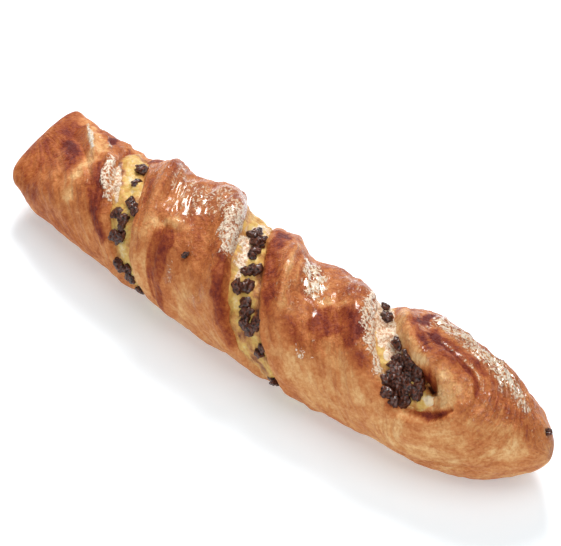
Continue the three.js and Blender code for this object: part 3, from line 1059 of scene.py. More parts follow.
@dataclass(frozen=True)
class CrustMarks:
    """Marks on the unrolled crust: browner, paler, frosted, glazed, raised or sunk, with painted shade and
    highlights.
    """

    browning_and_shade: tuple[Mark, ...] = (
        # The flattened end.
        Mark(((-92, 78, 2.5), (-86.5, 93, 3.6), (-84, 104, 3), (-81, 122, 1.5)), 0.38, 2.5),
        Mark(((-98, 50, 1.5), (-93, 66, 2), (-88, 82, 2.5)), 0.14, 2.5),
        Mark(
            ((-71, 98, 1.2), (-67.5, 114, 2.2), (-65, 128, 2.6), (-60, 145, 2.4), (-54, 165, 1.5)),
            0.36, 1.6,
        ),
        Mark(((-81, 40, 1), (-79, 46, 1.6), (-77, 52, 0.8)), 0.55, 0.8),
        Mark(((-71, 38, 1.2), (-69.5, 52, 1.2), (-69, 62, 0.6)), 0.35, 0.8),
        Mark(((-71, 38, 1.8), (-64, 46, 2), (-57, 53, 1.6)), 0.42, 1),
        Mark(((-96, 178, 2), (-80, 185, 4), (-60, 190, 4)), 0.12, 3),
        # Between the first and the second opening.
        Mark(((-50, 92, 1), (-46, 105, 1.6), (-43, 120, 1)), 0.16, 1.5),
        Mark(
            ((-30.6, 132, 4.2), (-29.8, 144, 3.8), (-28.6, 162, 3), (-26.8, 180, 2.2), (-25, 196, 1.4)),
            0.29, 0.4, 9,
        ),
        Mark(((-34.2, 138, 0.6), (-33, 152, 0.7), (-31, 172, 0.7), (-29, 190, 0.5)), 0.4, 0.5),
        Mark(((-23, 97, 3), (-14, 101, 2.5)), 0.04, 2),
        Mark(((-10.5, 108, 1.2), (-6.5, 128, 2), (-3.5, 148, 2), (1, 165, 1.5), (5, 180, 1.2)), 0.28, 0.9),
        # Between the second opening and the mouth.
        Mark(((-5, 46, 2), (-1.5, 58, 2.2), (1, 68, 1)), 0.42, 1),
        Mark(((-1, 70, 2), (3, 88, 3), (7, 103, 3), (11, 118, 2.2), (14, 130, 1.2)), 0.22, 1.2),
        Mark(((19.5, 95, 2), (24, 100, 2.2)), 0.12, 1.5),
        Mark(((28, 100, 2.2), (30, 118, 4), (34, 108, 5), (40, 106, 4), (42, 118, 2.5)), 0.32, 0.9),
        Mark(((21, 127, 2), (24, 135, 2.5), (28, 138, 2)), 0.2, 1.5),
        Mark(((47, 125, 2), (50, 135, 1.5)), 0.14, 1.5),
        # Round the mouth and on the round end.
        Mark(((53, 46, 1), (53.5, 56, 1.6), (54.5, 68, 1.2)), 0.5, 0.8),
        Mark(((59.5, 66, 1.2), (61, 74, 2), (63.5, 80, 1.2)), 0.48, 0.8),
        Mark(
            ((62, 77, 0.8), (67, 80, 0.8), (72.5, 84, 0.8), (77.5, 88, 0.8), (81, 96, 0.7), (83, 108, 0.4)),
            0.38, 0.6,
        ),
        Mark(((58, 70, 1), (66, 72, 1.2), (76, 76, 1.5), (84, 82, 1)), 0.26, 1),
        Mark(
            ((66, 152.5, 0.4), (70, 151, 0.8), (74.5, 147, 1.1), (77.3, 139.5, 1.1), (79.2, 132, 0.6)),
            0.58, 0.6,
        ),
        Mark(((56, 140, 0.6), (58.5, 148, 0.8), (62, 153.5, 0.7), (66, 152.5, 0.4)), 0.24, 0.8),
        # Painted shade: the hollow under the lip darkened.
        Mark(((66, 111, 1.2), (69, 117, 1.8), (69.5, 122, 1.2)), 0.6, 1),
        Mark(((53, 73, 1), (58, 86, 1.4), (64, 94, 1)), 0.34, 1),
        Mark(((88, 75, 1.5), (90, 90, 3), (95, 100, 4), (98, 118, 3)), 0.1, 3),
        Mark(((66, 90, 3), (74, 96, 3)), 0.12, 2),
        # Behind.
        Mark(((-95, -10, 4), (-84, 5, 5)), 0.12, 4),
        Mark(((-42, -5, 4), (-30, 18, 5)), 0.16, 3),
        Mark(((8, -12, 4), (18, 14, 5), (22, 30, 3)), 0.16, 3),
        Mark(((58, 0, 5), (74, 14, 6), (90, 30, 5)), 0.14, 4),
    )
    pale: tuple[Mark, ...] = (
        Mark(((-97, 24, 1.2), (-89.5, 39, 1.8), (-82.5, 57, 2.4), (-76.5, 78, 2.6)), 0.36, 1.4),
        # Painted highlight: a pale line along the bright edge of the fold.
        Mark(((-93, 39, 0.5), (-88.5, 52, 0.9), (-84, 66, 1.1), (-79, 81, 0.7)), 0.6, 0.5),
        Mark(((-78.5, 86, 2), (-76, 99, 2.8), (-75, 114, 2.6), (-75, 130, 2.4), (-73, 150, 2)), 0.38, 2.2),
        Mark(
            ((-54, 55, 1.5), (-48, 80, 2), (-41, 110, 2.6), (-38, 135, 3.2), (-36, 160, 3), (-32, 185, 2.5)),
            0.17, 1.5,
        ),
        Mark(((-36.5, 124, 1.4), (-31, 117, 1.8), (-26, 111, 1.3)), 0.34, 0.8),
        Mark(((-20, 165, 4), (-8, 172, 4), (0, 180, 3)), 0.12, 3),
        Mark(((4.5, 55, 0.9), (9, 82, 1), (13, 100, 1.1), (17, 120, 1)), 0.28, 0.6),
        Mark(((8, 58, 0.5), (12, 80, 0.6), (14.5, 90, 0.5)), 0.2, 0.5),
        # Painted highlight: a pale band across the top.
        Mark(((24, 92, 1), (31, 87, 1.2), (38, 84, 1)), 0.26, 0.8),
        Mark(((22, 165, 6), (40, 168, 9), (60, 176, 8), (80, 172, 8), (92, 160, 7)), 0.16, 5),
        Mark(((45, 46, 1), (48, 68, 1.5), (52.5, 86, 1.8), (59, 99, 1.8), (66, 107, 1.2)), 0.36, 0.8),
        Mark(((71, 104, 3), (76, 115, 4), (77, 128, 3)), 0.3, 2),
        Mark(((66, 146, 1.5), (70, 144, 1.2)), 0.3, 0.8),
        Mark(((97, 125, 3.5), (97, 160, 4.5)), 0.28, 3),
        Mark(((88, 138, 3), (84, 160, 4)), 0.14, 3),
        Mark(((-40, 140, 2.5), (-36, 165, 2.5)), 0.12, 2),
        Mark(((-45, 150, 2), (-41, 180, 2.5), (-37, 205, 2)), 0.16, 2),
        Mark(((38, 138, 4), (45, 145, 4), (53, 165, 5)), 0.14, 3),
        # Behind.
        Mark(((-68, -35, 5), (-56, -10, 5)), 0.14, 4),
        Mark(((-12, -25, 5), (-6, 0, 4)), 0.14, 3),
        Mark(((42, -30, 5), (50, -5, 4)), 0.14, 3),
    )
    # Dry sugar glaze, whose white partly stands for painted highlight.
    frost_and_highlight_marks: tuple[Mark, ...] = (
        Mark(
            ((-70, 82, 1.2), (-67, 96, 2.7), (-63, 108, 3.4), (-58.5, 121, 2.6), (-55.5, 132, 1.2)),
            0.95, 1.0,
        ),
        Mark(((-16, 68, 1.6), (-14.2, 80, 4.8), (-12.4, 91, 5.2), (-9.5, 105, 2.8)), 1.05, 1.2),
        Mark(
            ((35, 50, 2.4), (38, 70, 3.6), (42.5, 88, 4.2), (47, 104, 3.6), (51, 118, 2.2), (54, 134, 1.4)),
            1.0, 1.4,
        ),
        Mark(((26.5, 146, 1.6), (30, 147, 2), (33.5, 144, 1)), 0.7, 0.8),
        Mark(((59, 155, 0.5), (64, 156, 0.5)), 0.6, 0.4),
        Mark(((2, 120, 1), (4, 128, 1)), 0.4, 0.8),
    )
    # Wet glaze, which also carries painted highlight lines where the light glints.
    glaze_and_highlight_marks: tuple[Mark, ...] = (
        Mark(((-46, 58, 3), (-40, 72, 6), (-31, 80, 8), (-23, 72, 8), (-18, 60, 6)), 0.86, 3),
        Mark(((-36, 100, 3), (-30, 104, 3)), 0.7, 2),
        Mark(((-82, 107, 1.2), (-80.5, 118, 1.2)), 0.9, 0.8),
        Mark(((-69.5, 122, 0.8),), 1.0, 0.5),
        Mark(((-62, 140, 3), (-57, 155, 2.5)), 0.6, 2),
        Mark(((-12, 100, 2), (-9, 112, 2)), 1.0, 1),
        Mark(((-24.5, 145, 1.5), (-23.5, 160, 1.5)), 0.7, 1),
        Mark(((-10, 150, 3), (-12, 160, 3)), 0.5, 2),
        Mark(((12.5, 56, 3), (17, 70, 4.5), (20, 85, 3.6)), 1.5, 2),
        Mark(((14.5, 96, 2),), 0.6, 1),
        Mark(((25, 105, 1.5), (28, 118, 1.5), (31, 130, 1)), 0.8, 1),
        Mark(((24, 55, 3), (32, 62, 3)), 0.6, 2),
        Mark(((40, 84, 2.5), (44, 100, 2), (52, 122, 1.5), (54, 132, 1)), 1.0, 1),
        Mark(((56, 46, 4), (70, 50, 5), (82, 60, 6), (88, 70, 5), (95, 80, 3)), 1.15, 3),
        Mark(((79, 53, 1.2), (85, 62, 2.4), (89, 71, 1.6)), 1.5, 1.4),
        Mark(((55.5, 58, 0.8), (57, 68, 1)), 1.1, 0.8),
        Mark(((64, 75, 0.8), (69, 78, 1), (75, 81, 1), (80, 87, 0.8)), 1.1, 0.8),
        Mark(((-93, 39, 0.4), (-88.5, 52, 0.8), (-84, 66, 1), (-79, 81, 0.5)), 1.45, 0.6),
        Mark(((-81.5, 43, 0.3), (-77.5, 56, 0.7), (-74, 70, 0.5)), 1.4, 0.6),
    )
    relief: tuple[Mark | Fold, ...] = (
        # The flattened end: its folded edge, the valley behind it and the next fold.
        Fold(((-76, 96), (-79, 82), (-84, 69), (-90, 53), (-97, 36)), 1.9, 0.8, 7, 4),
        Mark(((-90, 42, 1), (-82, 62, 1.4), (-76, 80, 1.2), (-73, 92, 0.8)), -0.7, 1.4),
        Mark(((-86, 35, 1), (-79, 55, 1.2), (-73, 75, 1.2), (-70, 88, 0.8)), 0.9, 1.2),
        # The cut edge that slopes down to the first opening.
        Fold(((-59, 128), (-63, 120), (-67.5, 108), (-70.5, 92), (-71.5, 80)), 1.1, 0.5, 5, 3),
        # The pale flap over the crescent, and the ridge before the second opening.
        Fold(((-26, 117), (-31, 119), (-38, 119)), 0.9, 0.5, 6, 2),
        Mark(((-9.5, 108, 1), (-5.5, 128, 1.3), (-2.5, 148, 1.3), (2, 165, 1)), 0.7, 1.2),
        # Layers after the second opening.
        Fold(((4, 50), (8, 72), (12, 92), (16, 112), (20, 125)), 0.8, 0.5, 4, 4),
        Fold(((9, 52), (12.5, 72), (16, 92)), 0.6, 0.4, 3, 3),
        Fold(((22, 96), (31, 92), (40, 90)), 0.5, 0.5, 4, 3),
        # The mouth: its lip, its hollow, its burnt seam and the stretched dough round it.
        Fold(((69.5, 113), (65, 109), (59, 101.5), (53.5, 90), (49, 74), (46.5, 60)), 1.4, 0.8, 6, 3),
        Mark(((66.5, 112, 1.4), (69, 117, 2), (69.5, 122, 1.6)), -3.6, 1.6),
        Mark(
            ((65, 153, 0.4), (70, 151, 0.8), (74.5, 147, 0.9), (77.3, 139.5, 0.9), (79.2, 132, 0.5)),
            -1.4, 0.8,
        ),
        Mark(((60, 160, 1), (68, 159.5, 1.2), (75, 155, 1.2), (81, 145, 1.2), (83, 134, 0.8)), 0.5, 1.2),
        Mark(
            ((60, 75, 0.5), (66, 79, 0.6), (72, 85, 0.6), (78, 91, 0.6), (82, 99, 0.5), (83.5, 110, 0.3)),
            -0.7, 0.8,
        ),
        Mark(((79, 100, 0.3), (80.5, 115, 0.4), (79.5, 130, 0.3)), -0.5, 0.6),
    )


@dataclass
class Crust:
    """The laminated dough, baked: one closed skin, with its folds, laps and grooves."""

    form: TwistForm
    rows: int = 424
    columns: int = 232
    end_crowding: float = 0.3
    marks: CrustMarks = CrustMarks()
    finish: CrustFinish = CrustFinish()
    lumps: Relief = (Unevenness(28, 0.3, 3), Unevenness(8, 0.16, 4), Unevenness(3.2, 0.05, 5))
    flakes: Relief = (Unevenness(4.5, 0.11, 6), Unevenness(2.0, 0.08, 7))
    blisters: Relief = (Unevenness(2.4, 0.13, 8), Unevenness(1.4, 0.09, 9))
    blister_crowding: tuple[float, float, float] = (2.2, 1.0, 1.0)  # along the strip, and across it
    ragged: Relief = (Unevenness(4.5, 0.55, 11), Unevenness(1.7, 0.3, 12))
    ragged_relief: float = 0.4
    full_relief_radius: float = 12.0
    least_radius: float = 0.05
    brownest_angle: float = 80.0
    bake_below: float = 0.31
    bake_on_top: float = 0.22
    bake_on_ridges: float = 0.02
    bake_ridge_limit: float = 4.0
    bake_on_tongue: float = 0.16
    bake_lost_in_grooves: float = 0.06
    top_gloss_and_highlight: float = 0.44
    sheen_from: float = 0.5
    sheen_lost_on_tongue: float = 0.8
    wet_lost_where_browned: tuple[float, float] = (2.2, 0.9)  # for each unit of browning, and at most

    def stations(self) -> Array:
        """Places of the rings: even steps, crowded towards both ends by a cosine.

        Returns:
            Places along the twist, in order.
        """
        v = (np.arange(self.rows) + 0.5) / self.rows
        crowded = 0.5 * (1 - np.cos(math.pi * v))
        return LEFT + LENGTH * ((1 - self.end_crowding) * v + self.end_crowding * crowded)

    def angles(self, x: Array) -> Array:
        """Angles of a ring's points, which follow the two seams round the body.

        Args:
            x: Stations, as a column.

        Returns:
            One row of angles for each station.
        """
        first = self.form.seams[0].angle.at(x)
        span = turn(self.form.seams[1].angle.at(x) - first)
        half = self.columns // 2
        t = np.arange(half) / half
        return np.concatenate([first + span * t, first + span + (360 - span) * t], axis=1)

    def build(self) -> bpy.types.Object:
        """Radius = plain oval + ridges + marks + unevenness - grooves, carried round and along the twist.

        Returns:
            The crust.
        """
        x = self.stations()[:, None]
        angle = turn(self.angles(x))
        plain = self.form.plain_radius(x, angle)
        skin = self.form.place(x, plain, angle)
        strip = self.form.strip(x, angle)
        x_all = x + 0 * angle  # each ring's place, once for each of its points
        ragged = summed(self.ragged, skin)
        # Frost and glaze marks, which carry painted highlights as well as sugar and coat.
        frost = strongest(self.marks.frost_and_highlight_marks, x_all, angle, ragged)
        glaze = strongest(self.marks.glaze_and_highlight_marks, x_all, angle, ragged)
        folds = total(self.marks.relief, x_all, angle, self.ragged_relief * ragged)
        relief = self.form.ridges(x, angle) + folds
        relief += summed(self.lumps, skin) + summed(self.flakes, strip)
        relief += np.maximum(frost, glaze) * summed(self.blisters, strip * self.blister_crowding)
        grooves = self.form.grooves(x, angle)
        strength = np.clip(plain / self.full_relief_radius, 0, 1)
        radius = np.maximum(plain + (relief - grooves) * strength, self.least_radius)
        points = with_tips(self.form.place(x, radius, angle))
        piece = new_object("crust", points, tube_faces(self.rows, self.columns))
        looks = self.looks(x_all, angle, ragged, relief, grooves, glaze)
        for name, values in {**looks, "frost": frost, "strip": strip}.items():
            give_attribute(piece, name, with_tips(values))
        piece.data.materials.append(self.finish.material())
        return piece

    def looks(
        self, x: Array, angle: Array, ragged: Array, relief: Array, grooves: Array, glaze: Array
    ) -> dict[str, Array]:
        """How browned the crust is and how glazed, with painted highlights: more on top and in its marks,
        less in the grooves.

        Args:
            x: Places along the twist.
            angle: Angles round it.
            ragged: How far the marks' edges are moved outwards there.
            relief: Heights over the plain oval.
            grooves: Depths of the open seams.
            glaze: Strengths of the glazed marks, glaze that also carries painted highlights.

        Returns:
            Values of the attributes bake and glaze; the glaze also places painted highlights.
        """
        top = 0.5 + 0.5 * np.cos(np.radians(angle - self.brownest_angle))
        tongue = self.form.tongue(x)
        ridges = np.clip(relief, -self.bake_ridge_limit, self.bake_ridge_limit)
        bake = self.bake_below + self.bake_on_top * top + self.bake_on_ridges * ridges
        bake += self.bake_on_tongue * tongue - self.bake_lost_in_grooves * grooves
        browning_and_shade = strongest(self.marks.browning_and_shade, x, angle, ragged)
        bake += browning_and_shade - strongest(self.marks.pale, x, angle, ragged)
        # Painted highlight and coat on top, where the light falls; less on the flattened end and where
        # browned.
        top_gloss_and_highlight = self.top_gloss_and_highlight * ease(top, self.sheen_from, 1.0) * (1 - self.sheen_lost_on_tongue * tongue)
        loss, most = self.wet_lost_where_browned
        return {"bake": bake, "glaze": np.maximum(glaze, top_gloss_and_highlight) * (1 - np.clip(loss * browning_and_shade, 0, most))}


@dataclass
class Custard:
    """The sheet of custard that runs through the dough and shows in the open seams."""

    form: TwistForm
    left: float = -75.0
    right: float = 77.0
    recess: float = 1.5
    mouth_recess: float = 2.6
    mouth_start: Range = (42.0, 60.0)
    floor_clear: float = 1.2
    arm: tuple[tuple[float, float], ...] = ((0.36, 2.1), (0.74, 2.8))  # share of the reach, half thickness
    shut_reach: float = 0.72
    shut_half: float = 10.0
    face_widening: float = 1.3
    rows: int = 300
    face_steps: int = 40
    face_fall: float = 0.9
    face_fullness: int = 6
    uneven: Relief = (Unevenness(7, 0.3, 21), Unevenness(2.6, 0.12, 22))
    ragged: Relief = (Unevenness(4, 0.6, 23), Unevenness(1.8, 0.3, 24))
    plain_bake: float = 0.38
    edge_bake: float = 0.16
    edge_share: Range = (0.45, 0.95)
    edge_ragged: float = 0.15
    browning_and_shade: tuple[Mark, ...] = (
        Mark(((-70, 48, 1), (-68.5, 70, 0.8), (-64, 92, 1.6), (-60, 108, 1.4)), 0.3, 1.2),
        Mark(((-66, 44, 1.5), (-60, 50, 1.5)), 0.2, 1),
        Mark(((-56, 100, 1.5), (-52, 112, 1.5)), 0.12, 1.5),
        Mark(((2.5, 98, 1.2), (7, 115, 1.8), (11, 135, 1.8), (14, 150, 1.2)), 0.48, 1.2),
        Mark(((8, 166, 2), (12, 178, 2.5), (16, 190, 2)), 0.36, 2),
        # Painted shade: the custard darkened in the hollow under the lip.
        Mark(((65, 104, 2), (69, 114, 2.8), (69.5, 122, 2)), 0.9, 1.0),
    )
    pale: tuple[Mark, ...] = (
        Mark(((-66, 66, 1), (-63, 80, 1)), 0.12, 1),
        Mark(((-56, 90, 2.4), (-52, 104, 2.4)), 0.3, 1.5),
        Mark(((-48, 150, 3), (-42, 180, 3)), 0.1, 2),
        Mark(((-12, 50, 1), (-11, 60, 1)), 0.2, 1),
        Mark(((71.5, 112, 2.5), (73, 122, 3), (70, 134, 2.5)), 0.4, 1.5),
    )
    # Dry sugar, whose white partly stands for painted highlight.
    frost_and_highlight_marks: tuple[Mark, ...] = (
        Mark(((-66, 86, 0.8), (-62.5, 101, 1.4), (-59.5, 113, 1.3), (-56.5, 125, 0.8)), 1.0, 0.6),
        Mark(((-11, 50, 2), (-9.5, 66, 2.6), (-8.5, 84, 2.4), (-5, 102, 1.8), (-2, 120, 1.2)), 0.95, 1.2),
        Mark(((37, 46, 3), (41, 62, 5), (46, 80, 5), (51, 96, 4), (55, 110, 2.2)), 1.0, 1.4),
    )
    relief: tuple[Mark, ...] = (
        Mark(((66, 108, 1.8), (69, 115, 2.6), (69.5, 121, 2)), -4.5, 1.6),
    )
    finish: CustardFinish = CustardFinish()

    def reach(self, seam: Seam, x: Array, angle: Array) -> Array:
        """Radius that the custard reaches under a seam, held clear of the resting surface.

        Args:
            seam: The seam it shows in.
            x: Places along the twist.
            angle: Angles round it.

        Returns:
            Radii.
        """
        plain = self.form.plain_radius(x, angle)
        deeper = self.mouth_recess * ease(x, *self.mouth_start) if seam is self.form.seams[0] else 0
        shown = plain + self.form.ridges(x, angle) - self.recess - deeper
        open_share = np.clip(seam.open.at(x), 0, 1)
        reach = self.shut_reach * plain * (1 - open_share) + shown * open_share
        down = np.maximum(-np.sin(np.radians(angle)), 1e-3)
        return np.minimum(reach, (self.form.middle(x)[1] - self.floor_clear) / down)

    def arm_section(self, seam: Seam, x: Array) -> tuple[Array, Array]:
        """One arm of the section: from its neck out to the seam, across the shown face, and back.

        Args:
            seam: The seam that the arm ends in.
            x: Stations, as a column.

        Returns:
            Radii and angles, one row for each station.
        """
        open_share = np.clip(seam.open.at(x), 0, 1)
        middle = seam.angle.at(x)
        reach = self.reach(seam, x, middle)
        half = self.shut_half * (1 - open_share) + self.face_widening * seam.half_angle.at(x) * open_share
        shares, halves = np.array(self.arm).T
        side_radius = shares * reach
        side_off = np.degrees(np.arctan2(halves, side_radius))
        across = np.linspace(-1, 1, self.face_steps + 1)
        face_angle = middle + half * across
        face_radius = self.reach(seam, x, face_angle) - self.face_fall * np.abs(across) ** self.face_fullness
        radii = [side_radius, face_radius, side_radius[:, ::-1]]
        angles = [middle - side_off, face_angle, middle + side_off[:, ::-1]]
        return np.concatenate(radii, axis=1), np.concatenate(angles, axis=1)

    def build(self) -> bpy.types.Object:
        """Both arms' sections make one closed ring at each station, turned with the seams along the twist.

        Returns:
            The custard.
        """
        x = np.linspace(self.left, self.right, self.rows)[:, None]
        arms = [self.arm_section(seam, x) for seam in self.form.seams]
        radius = np.concatenate([arm[0] for arm in arms], axis=1)
        angle = turn(np.concatenate([arm[1] for arm in arms], axis=1))
        x_all = x + 0 * angle
        skin = self.form.place(x, radius, angle)
        ragged = summed(self.ragged, skin)
        radius = radius + summed(self.uneven, skin) + total(self.relief, x_all, angle, ragged)
        tips = self.form.place(np.array([self.left, self.right]), np.zeros(2), np.zeros(2))
        points = np.concatenate([self.form.place(x, radius, angle).reshape(-1, 3), tips])
        piece = new_object("custard", points, tube_faces(self.rows, radius.shape[1]))
        browning_and_shade = strongest(self.browning_and_shade, x_all, angle, ragged)
        bake = self.plain_bake + browning_and_shade - strongest(self.pale, x_all, angle, ragged)
        shares = [np.abs(seam.off(x, angle)) / seam.half_angle.at(x) for seam in self.form.seams]
        bake += self.edge_bake * ease(np.min(shares, axis=0) + self.edge_ragged * ragged, *self.edge_share)
        give_attribute(piece, "bake", with_tips(bake))
        give_attribute(piece, "frost", with_tips(strongest(self.frost_and_highlight_marks, x_all, angle, ragged)))
        piece.data.materials.append(self.finish.material())
        return piece


DRAW_FACTOR = 16807  # the chips' seeded draw multiplies its last number by this
DRAW_LIMIT = 2147483647  # and keeps the remainder after this


@dataclass(frozen=True)
class ChipRow:
    """Chips strewn along a line on a seam, from (x, angle) to (x, angle)."""

    seam: int
    start: tuple[float, float]
    end: tuple[float, float]
    count: int
    scatter: float
    size: float = 1.0


@dataclass
class Chips:
    """The chocolate chips, all in one mesh: crumbly lumps sunk into the custard or the crust."""

    form: TwistForm
    custard: Custard
    rows: tuple[ChipRow, ...] = (
        ChipRow(0, (-59, 70), (-58, 76), 1, 0, 1.15),
        ChipRow(0, (-55.5, 95), (-55, 97), 1, 0, 0.8),
        ChipRow(0, (-51.5, 117), (-46.5, 127), 3, 0.8, 0.9),
        ChipRow(0, (-53, 137), (-46.5, 146), 4, 1.6, 0.95),
        ChipRow(0, (-50, 152), (-48, 160), 2, 1, 0.9),
        ChipRow(0, (-46, 180), (-45.5, 190), 1, 0, 1.0),
        ChipRow(0, (-43, 182), (-42, 194), 2, 0.8, 0.9),
        ChipRow(0, (-40, 206), (-39, 212), 1, 0, 1.0),
        ChipRow(1, (-8.5, 64), (-6, 78), 4, 1.5, 0.9),
        ChipRow(1, (-4.5, 84), (-3.5, 92), 2, 0.6, 0.9),
        ChipRow(1, (-3, 114), (2, 102), 3, 0.9, 0.9),
        ChipRow(1, (-1, 127), (2.5, 119), 3, 0.8, 0.9),
        ChipRow(1, (4.5, 132), (8, 154), 3, 0.5, 0.9),
        ChipRow(1, (9, 158), (14, 137), 4, 0.6, 0.95),
        ChipRow(1, (17, 160), (14.5, 175), 2, 0.5, 0.85),
        ChipRow(1, (20, 198), (20.5, 204), 1, 0, 1.0),
        ChipRow(0, (38.5, 46), (39, 52), 1, 0, 0.9),
        ChipRow(0, (43, 66), (43, 70), 1, 0, 1.0),
        ChipRow(0, (52.5, 92), (52.5, 93), 1, 0, 0.9),
        ChipRow(0, (55, 102), (59, 140), 6, 1.0, 0.9),
        ChipRow(0, (58, 98), (64, 142), 7, 1.2, 0.9),
        ChipRow(0, (58, 124), (62, 149), 4, 1.0, 0.9),
        ChipRow(0, (63, 108), (67, 136), 5, 0.9, 0.9),
        ChipRow(0, (24, 350), (30, 370), 3, 3, 1.0),
        ChipRow(0, (10, 315), (18, 335), 2, 3, 1.0),
        ChipRow(1, (-37, -15), (-31, 5), 3, 3, 1.0),
        ChipRow(1, (-48, -70), (-44, -45), 2, 3, 1.0),
        ChipRow(1, (50, 290), (58, 315), 3, 3, 1.0),
    )
    loose: tuple[tuple[float, float, float], ...] = (  # x, angle and half length
        (-21, 133, 1.3), (5, 171, 1.2), (103, 70, 1.4), (61.5, 128, 2.4), (63.5, 132, 2.2), (56.6, 137, 2.1),
        (59, 145.5, 2.4), (61.8, 150, 2.2), (64.6, 147.5, 2.1), (57.5, 118, 2.1), (66, 127, 2.0),
        (61, 108, 2.0),
    )
    mouth_from: float = 50.0
    loose_spin: float = 0.7
    half: tuple[float, float, float] = (2.65, 2.1, 1.8)
    least: float = 0.75
    sunk: float = 0.42
    floor_clear: float = 4.0
    lump_sizes: tuple[tuple[float, float, int], ...] = ((1.2, 0.17, 100), (0.5, 0.075, 300))
    lump_waves: int = 14
    seed: int = 11
    around: int = 24
    rings: int = 16
    finish: ChocolateFinish = ChocolateFinish()

    def places(self) -> list[tuple[float, float, float, Array, float]]:
        """Every chip's x, angle, radius, half sizes and spin, by a seeded draw along each row.

        Returns:
            The chips on the custard, then the loose ones on the crust and in the mouth.
        """
        half = np.array(self.half)
        state = self.seed
        found = []
        for row in self.rows:
            seam = self.form.seams[row.seam]
            for i in range(row.count):
                drawn = []
                for _ in range(4):
                    state = state * DRAW_FACTOR % DRAW_LIMIT
                    drawn.append(state / DRAW_LIMIT)
                along = (i + 0.5) / row.count
                distance = row.scatter * math.sqrt(drawn[0])
                bearing = 2 * math.pi * drawn[1]
                x = row.start[0] + (row.end[0] - row.start[0]) * along + distance * math.cos(bearing)
                shift = math.degrees(distance * math.sin(bearing) / float(self.form.plain_radius(x, 90.0)))
                angle = row.start[1] + (row.end[1] - row.start[1]) * along + shift
                radius = float(self.custard.reach(seam, x, angle))
                size = row.size * half * (self.least + (1 - self.least) * drawn[2])
                if self.form.place(x, radius, angle)[2] > self.floor_clear:
                    found.append((x, angle, radius, size, math.pi * drawn[3]))
        form = self.form
        for x, angle, size in self.loose:
            shown = form.plain_radius(x, angle) + form.ridges(x, angle) - form.grooves(x, angle)
            if x > self.mouth_from:
                shown = max(shown, self.custard.reach(form.seams[0], x, angle))
            found.append((x, angle, float(shown), half * size / half[0], self.loose_spin * x))
        return found

    def lumps(self, number: int) -> Relief:
        """Relief of one chip, as shares of its radius: each size has a height and a first seed."""
        waves = self.lump_waves
        return tuple(Unevenness(size, high, seed + number, waves) for size, high, seed in self.lump_sizes)

    def build(self) -> bpy.types.Object:
        """Each lump is a sphere grid, its radius changed by waves, scaled, turned and set in its place.

        Returns:
            All the chips.
        """
        up = math.pi * (np.arange(self.rings) + 0.5) / self.rings
        round_ = 2 * math.pi * np.arange(self.around) / self.around
        level, ring = -np.cos(up)[:, None], np.sin(up)[:, None]
        grid = np.stack(np.broadcast_arrays(ring * np.cos(round_), ring * np.sin(round_), level), axis=-1)
        ball = np.concatenate([grid.reshape(-1, 3), [[0, 0, -1], [0, 0, 1]]])
        faces = tube_faces(self.rings, self.around)
        points = []
        every = []
        for number, (x, angle, radius, size, spin) in enumerate(self.places()):
            waves = summed(self.lumps(number), ball)
            along, across, out = (ball * (1 + waves)[:, None] * size).T
            outward = np.array([0, math.cos(math.radians(angle)), math.sin(math.radians(angle))])
            beside = np.cross(outward, [1.0, 0, 0])
            centre = self.form.place(x, radius + (1 - 2 * self.sunk) * size[2], angle)
            c, s = math.cos(spin), math.sin(spin)
            along, across = along * c - across * s, along * s + across * c
            every += [tuple(corner + len(ball) * number for corner in face) for face in faces]
            turned = np.stack([along, across, out], axis=-1) @ [[1.0, 0, 0], beside, outward]
            points.append(centre + turned)
        piece = new_object("chips", np.concatenate(points), every)
        piece.data.materials.append(self.finish.material())
        return piece


# ---------------------------------------------------------------- the studio


@dataclass(frozen=True)
class SoftLight:
    """A square light that looks at the pastry, in metres. Its bearing is counted from the camera's."""

    name: str
    bearing: float
    elevation: float
    distance: float
    side: float
    watts: float


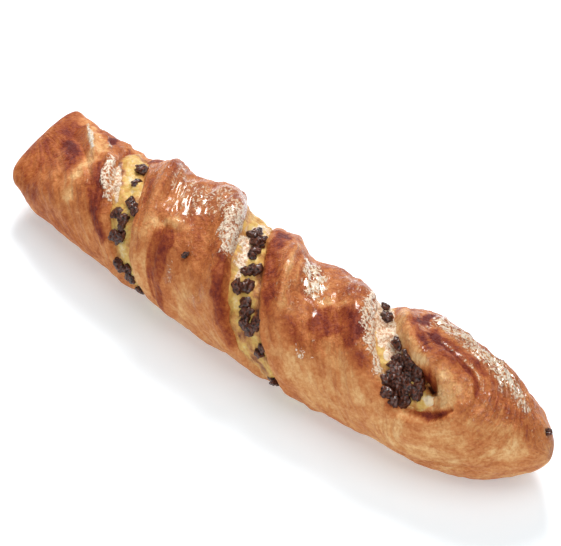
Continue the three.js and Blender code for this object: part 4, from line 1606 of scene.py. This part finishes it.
@dataclass
class Studio:
    """A white surface, soft light from behind and above, and the photograph's viewpoint."""

    azimuth: float = 39.41
    elevation: float = 45.0
    distance: float = 0.75
    focal: float = 151.4
    clip_start: float = 0.01
    target: tuple[float, float, float] = (-0.0034, 0.0105, 0.017)
    floor_half: float = 4.0
    floor_finish: WhiteFinish = WhiteFinish()
    surround: float = 0.24
    lights: tuple[SoftLight, ...] = (
        SoftLight("window", 176, 46, 1.0, 0.34, 9.0),
        SoftLight("overhead", 60, 72, 1.3, 1.1, 8.0),
        SoftLight("fill", -20, 28, 1.4, 0.9, 6.0),
    )

    def away(self, azimuth: float, elevation: float) -> Array:
        """Direction from the pastry at an azimuth and elevation: 0 azimuth is towards -Y."""
        a, e = math.radians(azimuth), math.radians(elevation)
        return np.array([math.sin(a) * math.cos(e), -math.cos(a) * math.cos(e), math.sin(e)])

    def aim(self, thing: bpy.types.Object, distance: float, azimuth: float, elevation: float) -> None:
        """Puts a camera or a light at a distance from the target, looking at it.

        Args:
            thing: The camera or light.
            distance: How far it stands, in metres.
            azimuth: Its azimuth.
            elevation: Its elevation.
        """
        back = Vector(self.away(azimuth, elevation))
        thing.location = Vector(self.target) + distance * back
        thing.rotation_euler = back.to_track_quat("Z", "Y").to_euler()
        bpy.context.scene.collection.objects.link(thing)

    def build(self) -> None:
        """Sets up the camera, the lights, the surround and the surface."""
        scene = bpy.context.scene
        data = bpy.data.cameras.new("camera")
        data.lens = self.focal
        data.clip_start = self.clip_start
        scene.camera = bpy.data.objects.new("camera", data)
        self.aim(scene.camera, self.distance, self.azimuth, self.elevation)
        for light in self.lights:
            data = bpy.data.lights.new(light.name, "AREA")
            data.size = light.side
            data.energy = light.watts
            lamp = bpy.data.objects.new(light.name, data)
            self.aim(lamp, light.distance, self.azimuth + light.bearing, light.elevation)
        scene.world = bpy.data.worlds.new("surround")
        scene.world.use_nodes = True
        background = scene.world.node_tree.nodes["Background"].inputs
        background["Color"].default_value = (1, 1, 1, 1)
        background["Strength"].default_value = self.surround
        scene.view_settings.view_transform = "Standard"
        self.floor()

    def floor(self) -> None:
        """The surface that the pastry lies on."""
        half = self.floor_half / MM
        around = np.array([[-half, -half, 0], [half, -half, 0], [half, half, 0], [-half, half, 0]])
        floor = new_object("floor", around, [(0, 1, 2, 3)], smooth=False)
        floor.data.materials.append(self.floor_finish.material())


def main() -> None:
    """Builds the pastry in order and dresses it."""
    logging.basicConfig(level=logging.INFO, format="%(message)s")
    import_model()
    form = TwistForm()
    custard = Custard(form)
    pieces = (
        (Crust(form), "pastry_dough", "baked_dough"),
        (custard, "custard_filling", "custard"),
        (Chips(form, custard), "custard_filling", "chocolate"),
    )
    for maker, node, slot in pieces:
        piece = maker.build()
        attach(piece, "root")
        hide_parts(node)
        LOG.info("%s: %d faces", piece.name, len(piece.data.polygons))
    Studio().build()


if __name__ == "__main__":
    main()
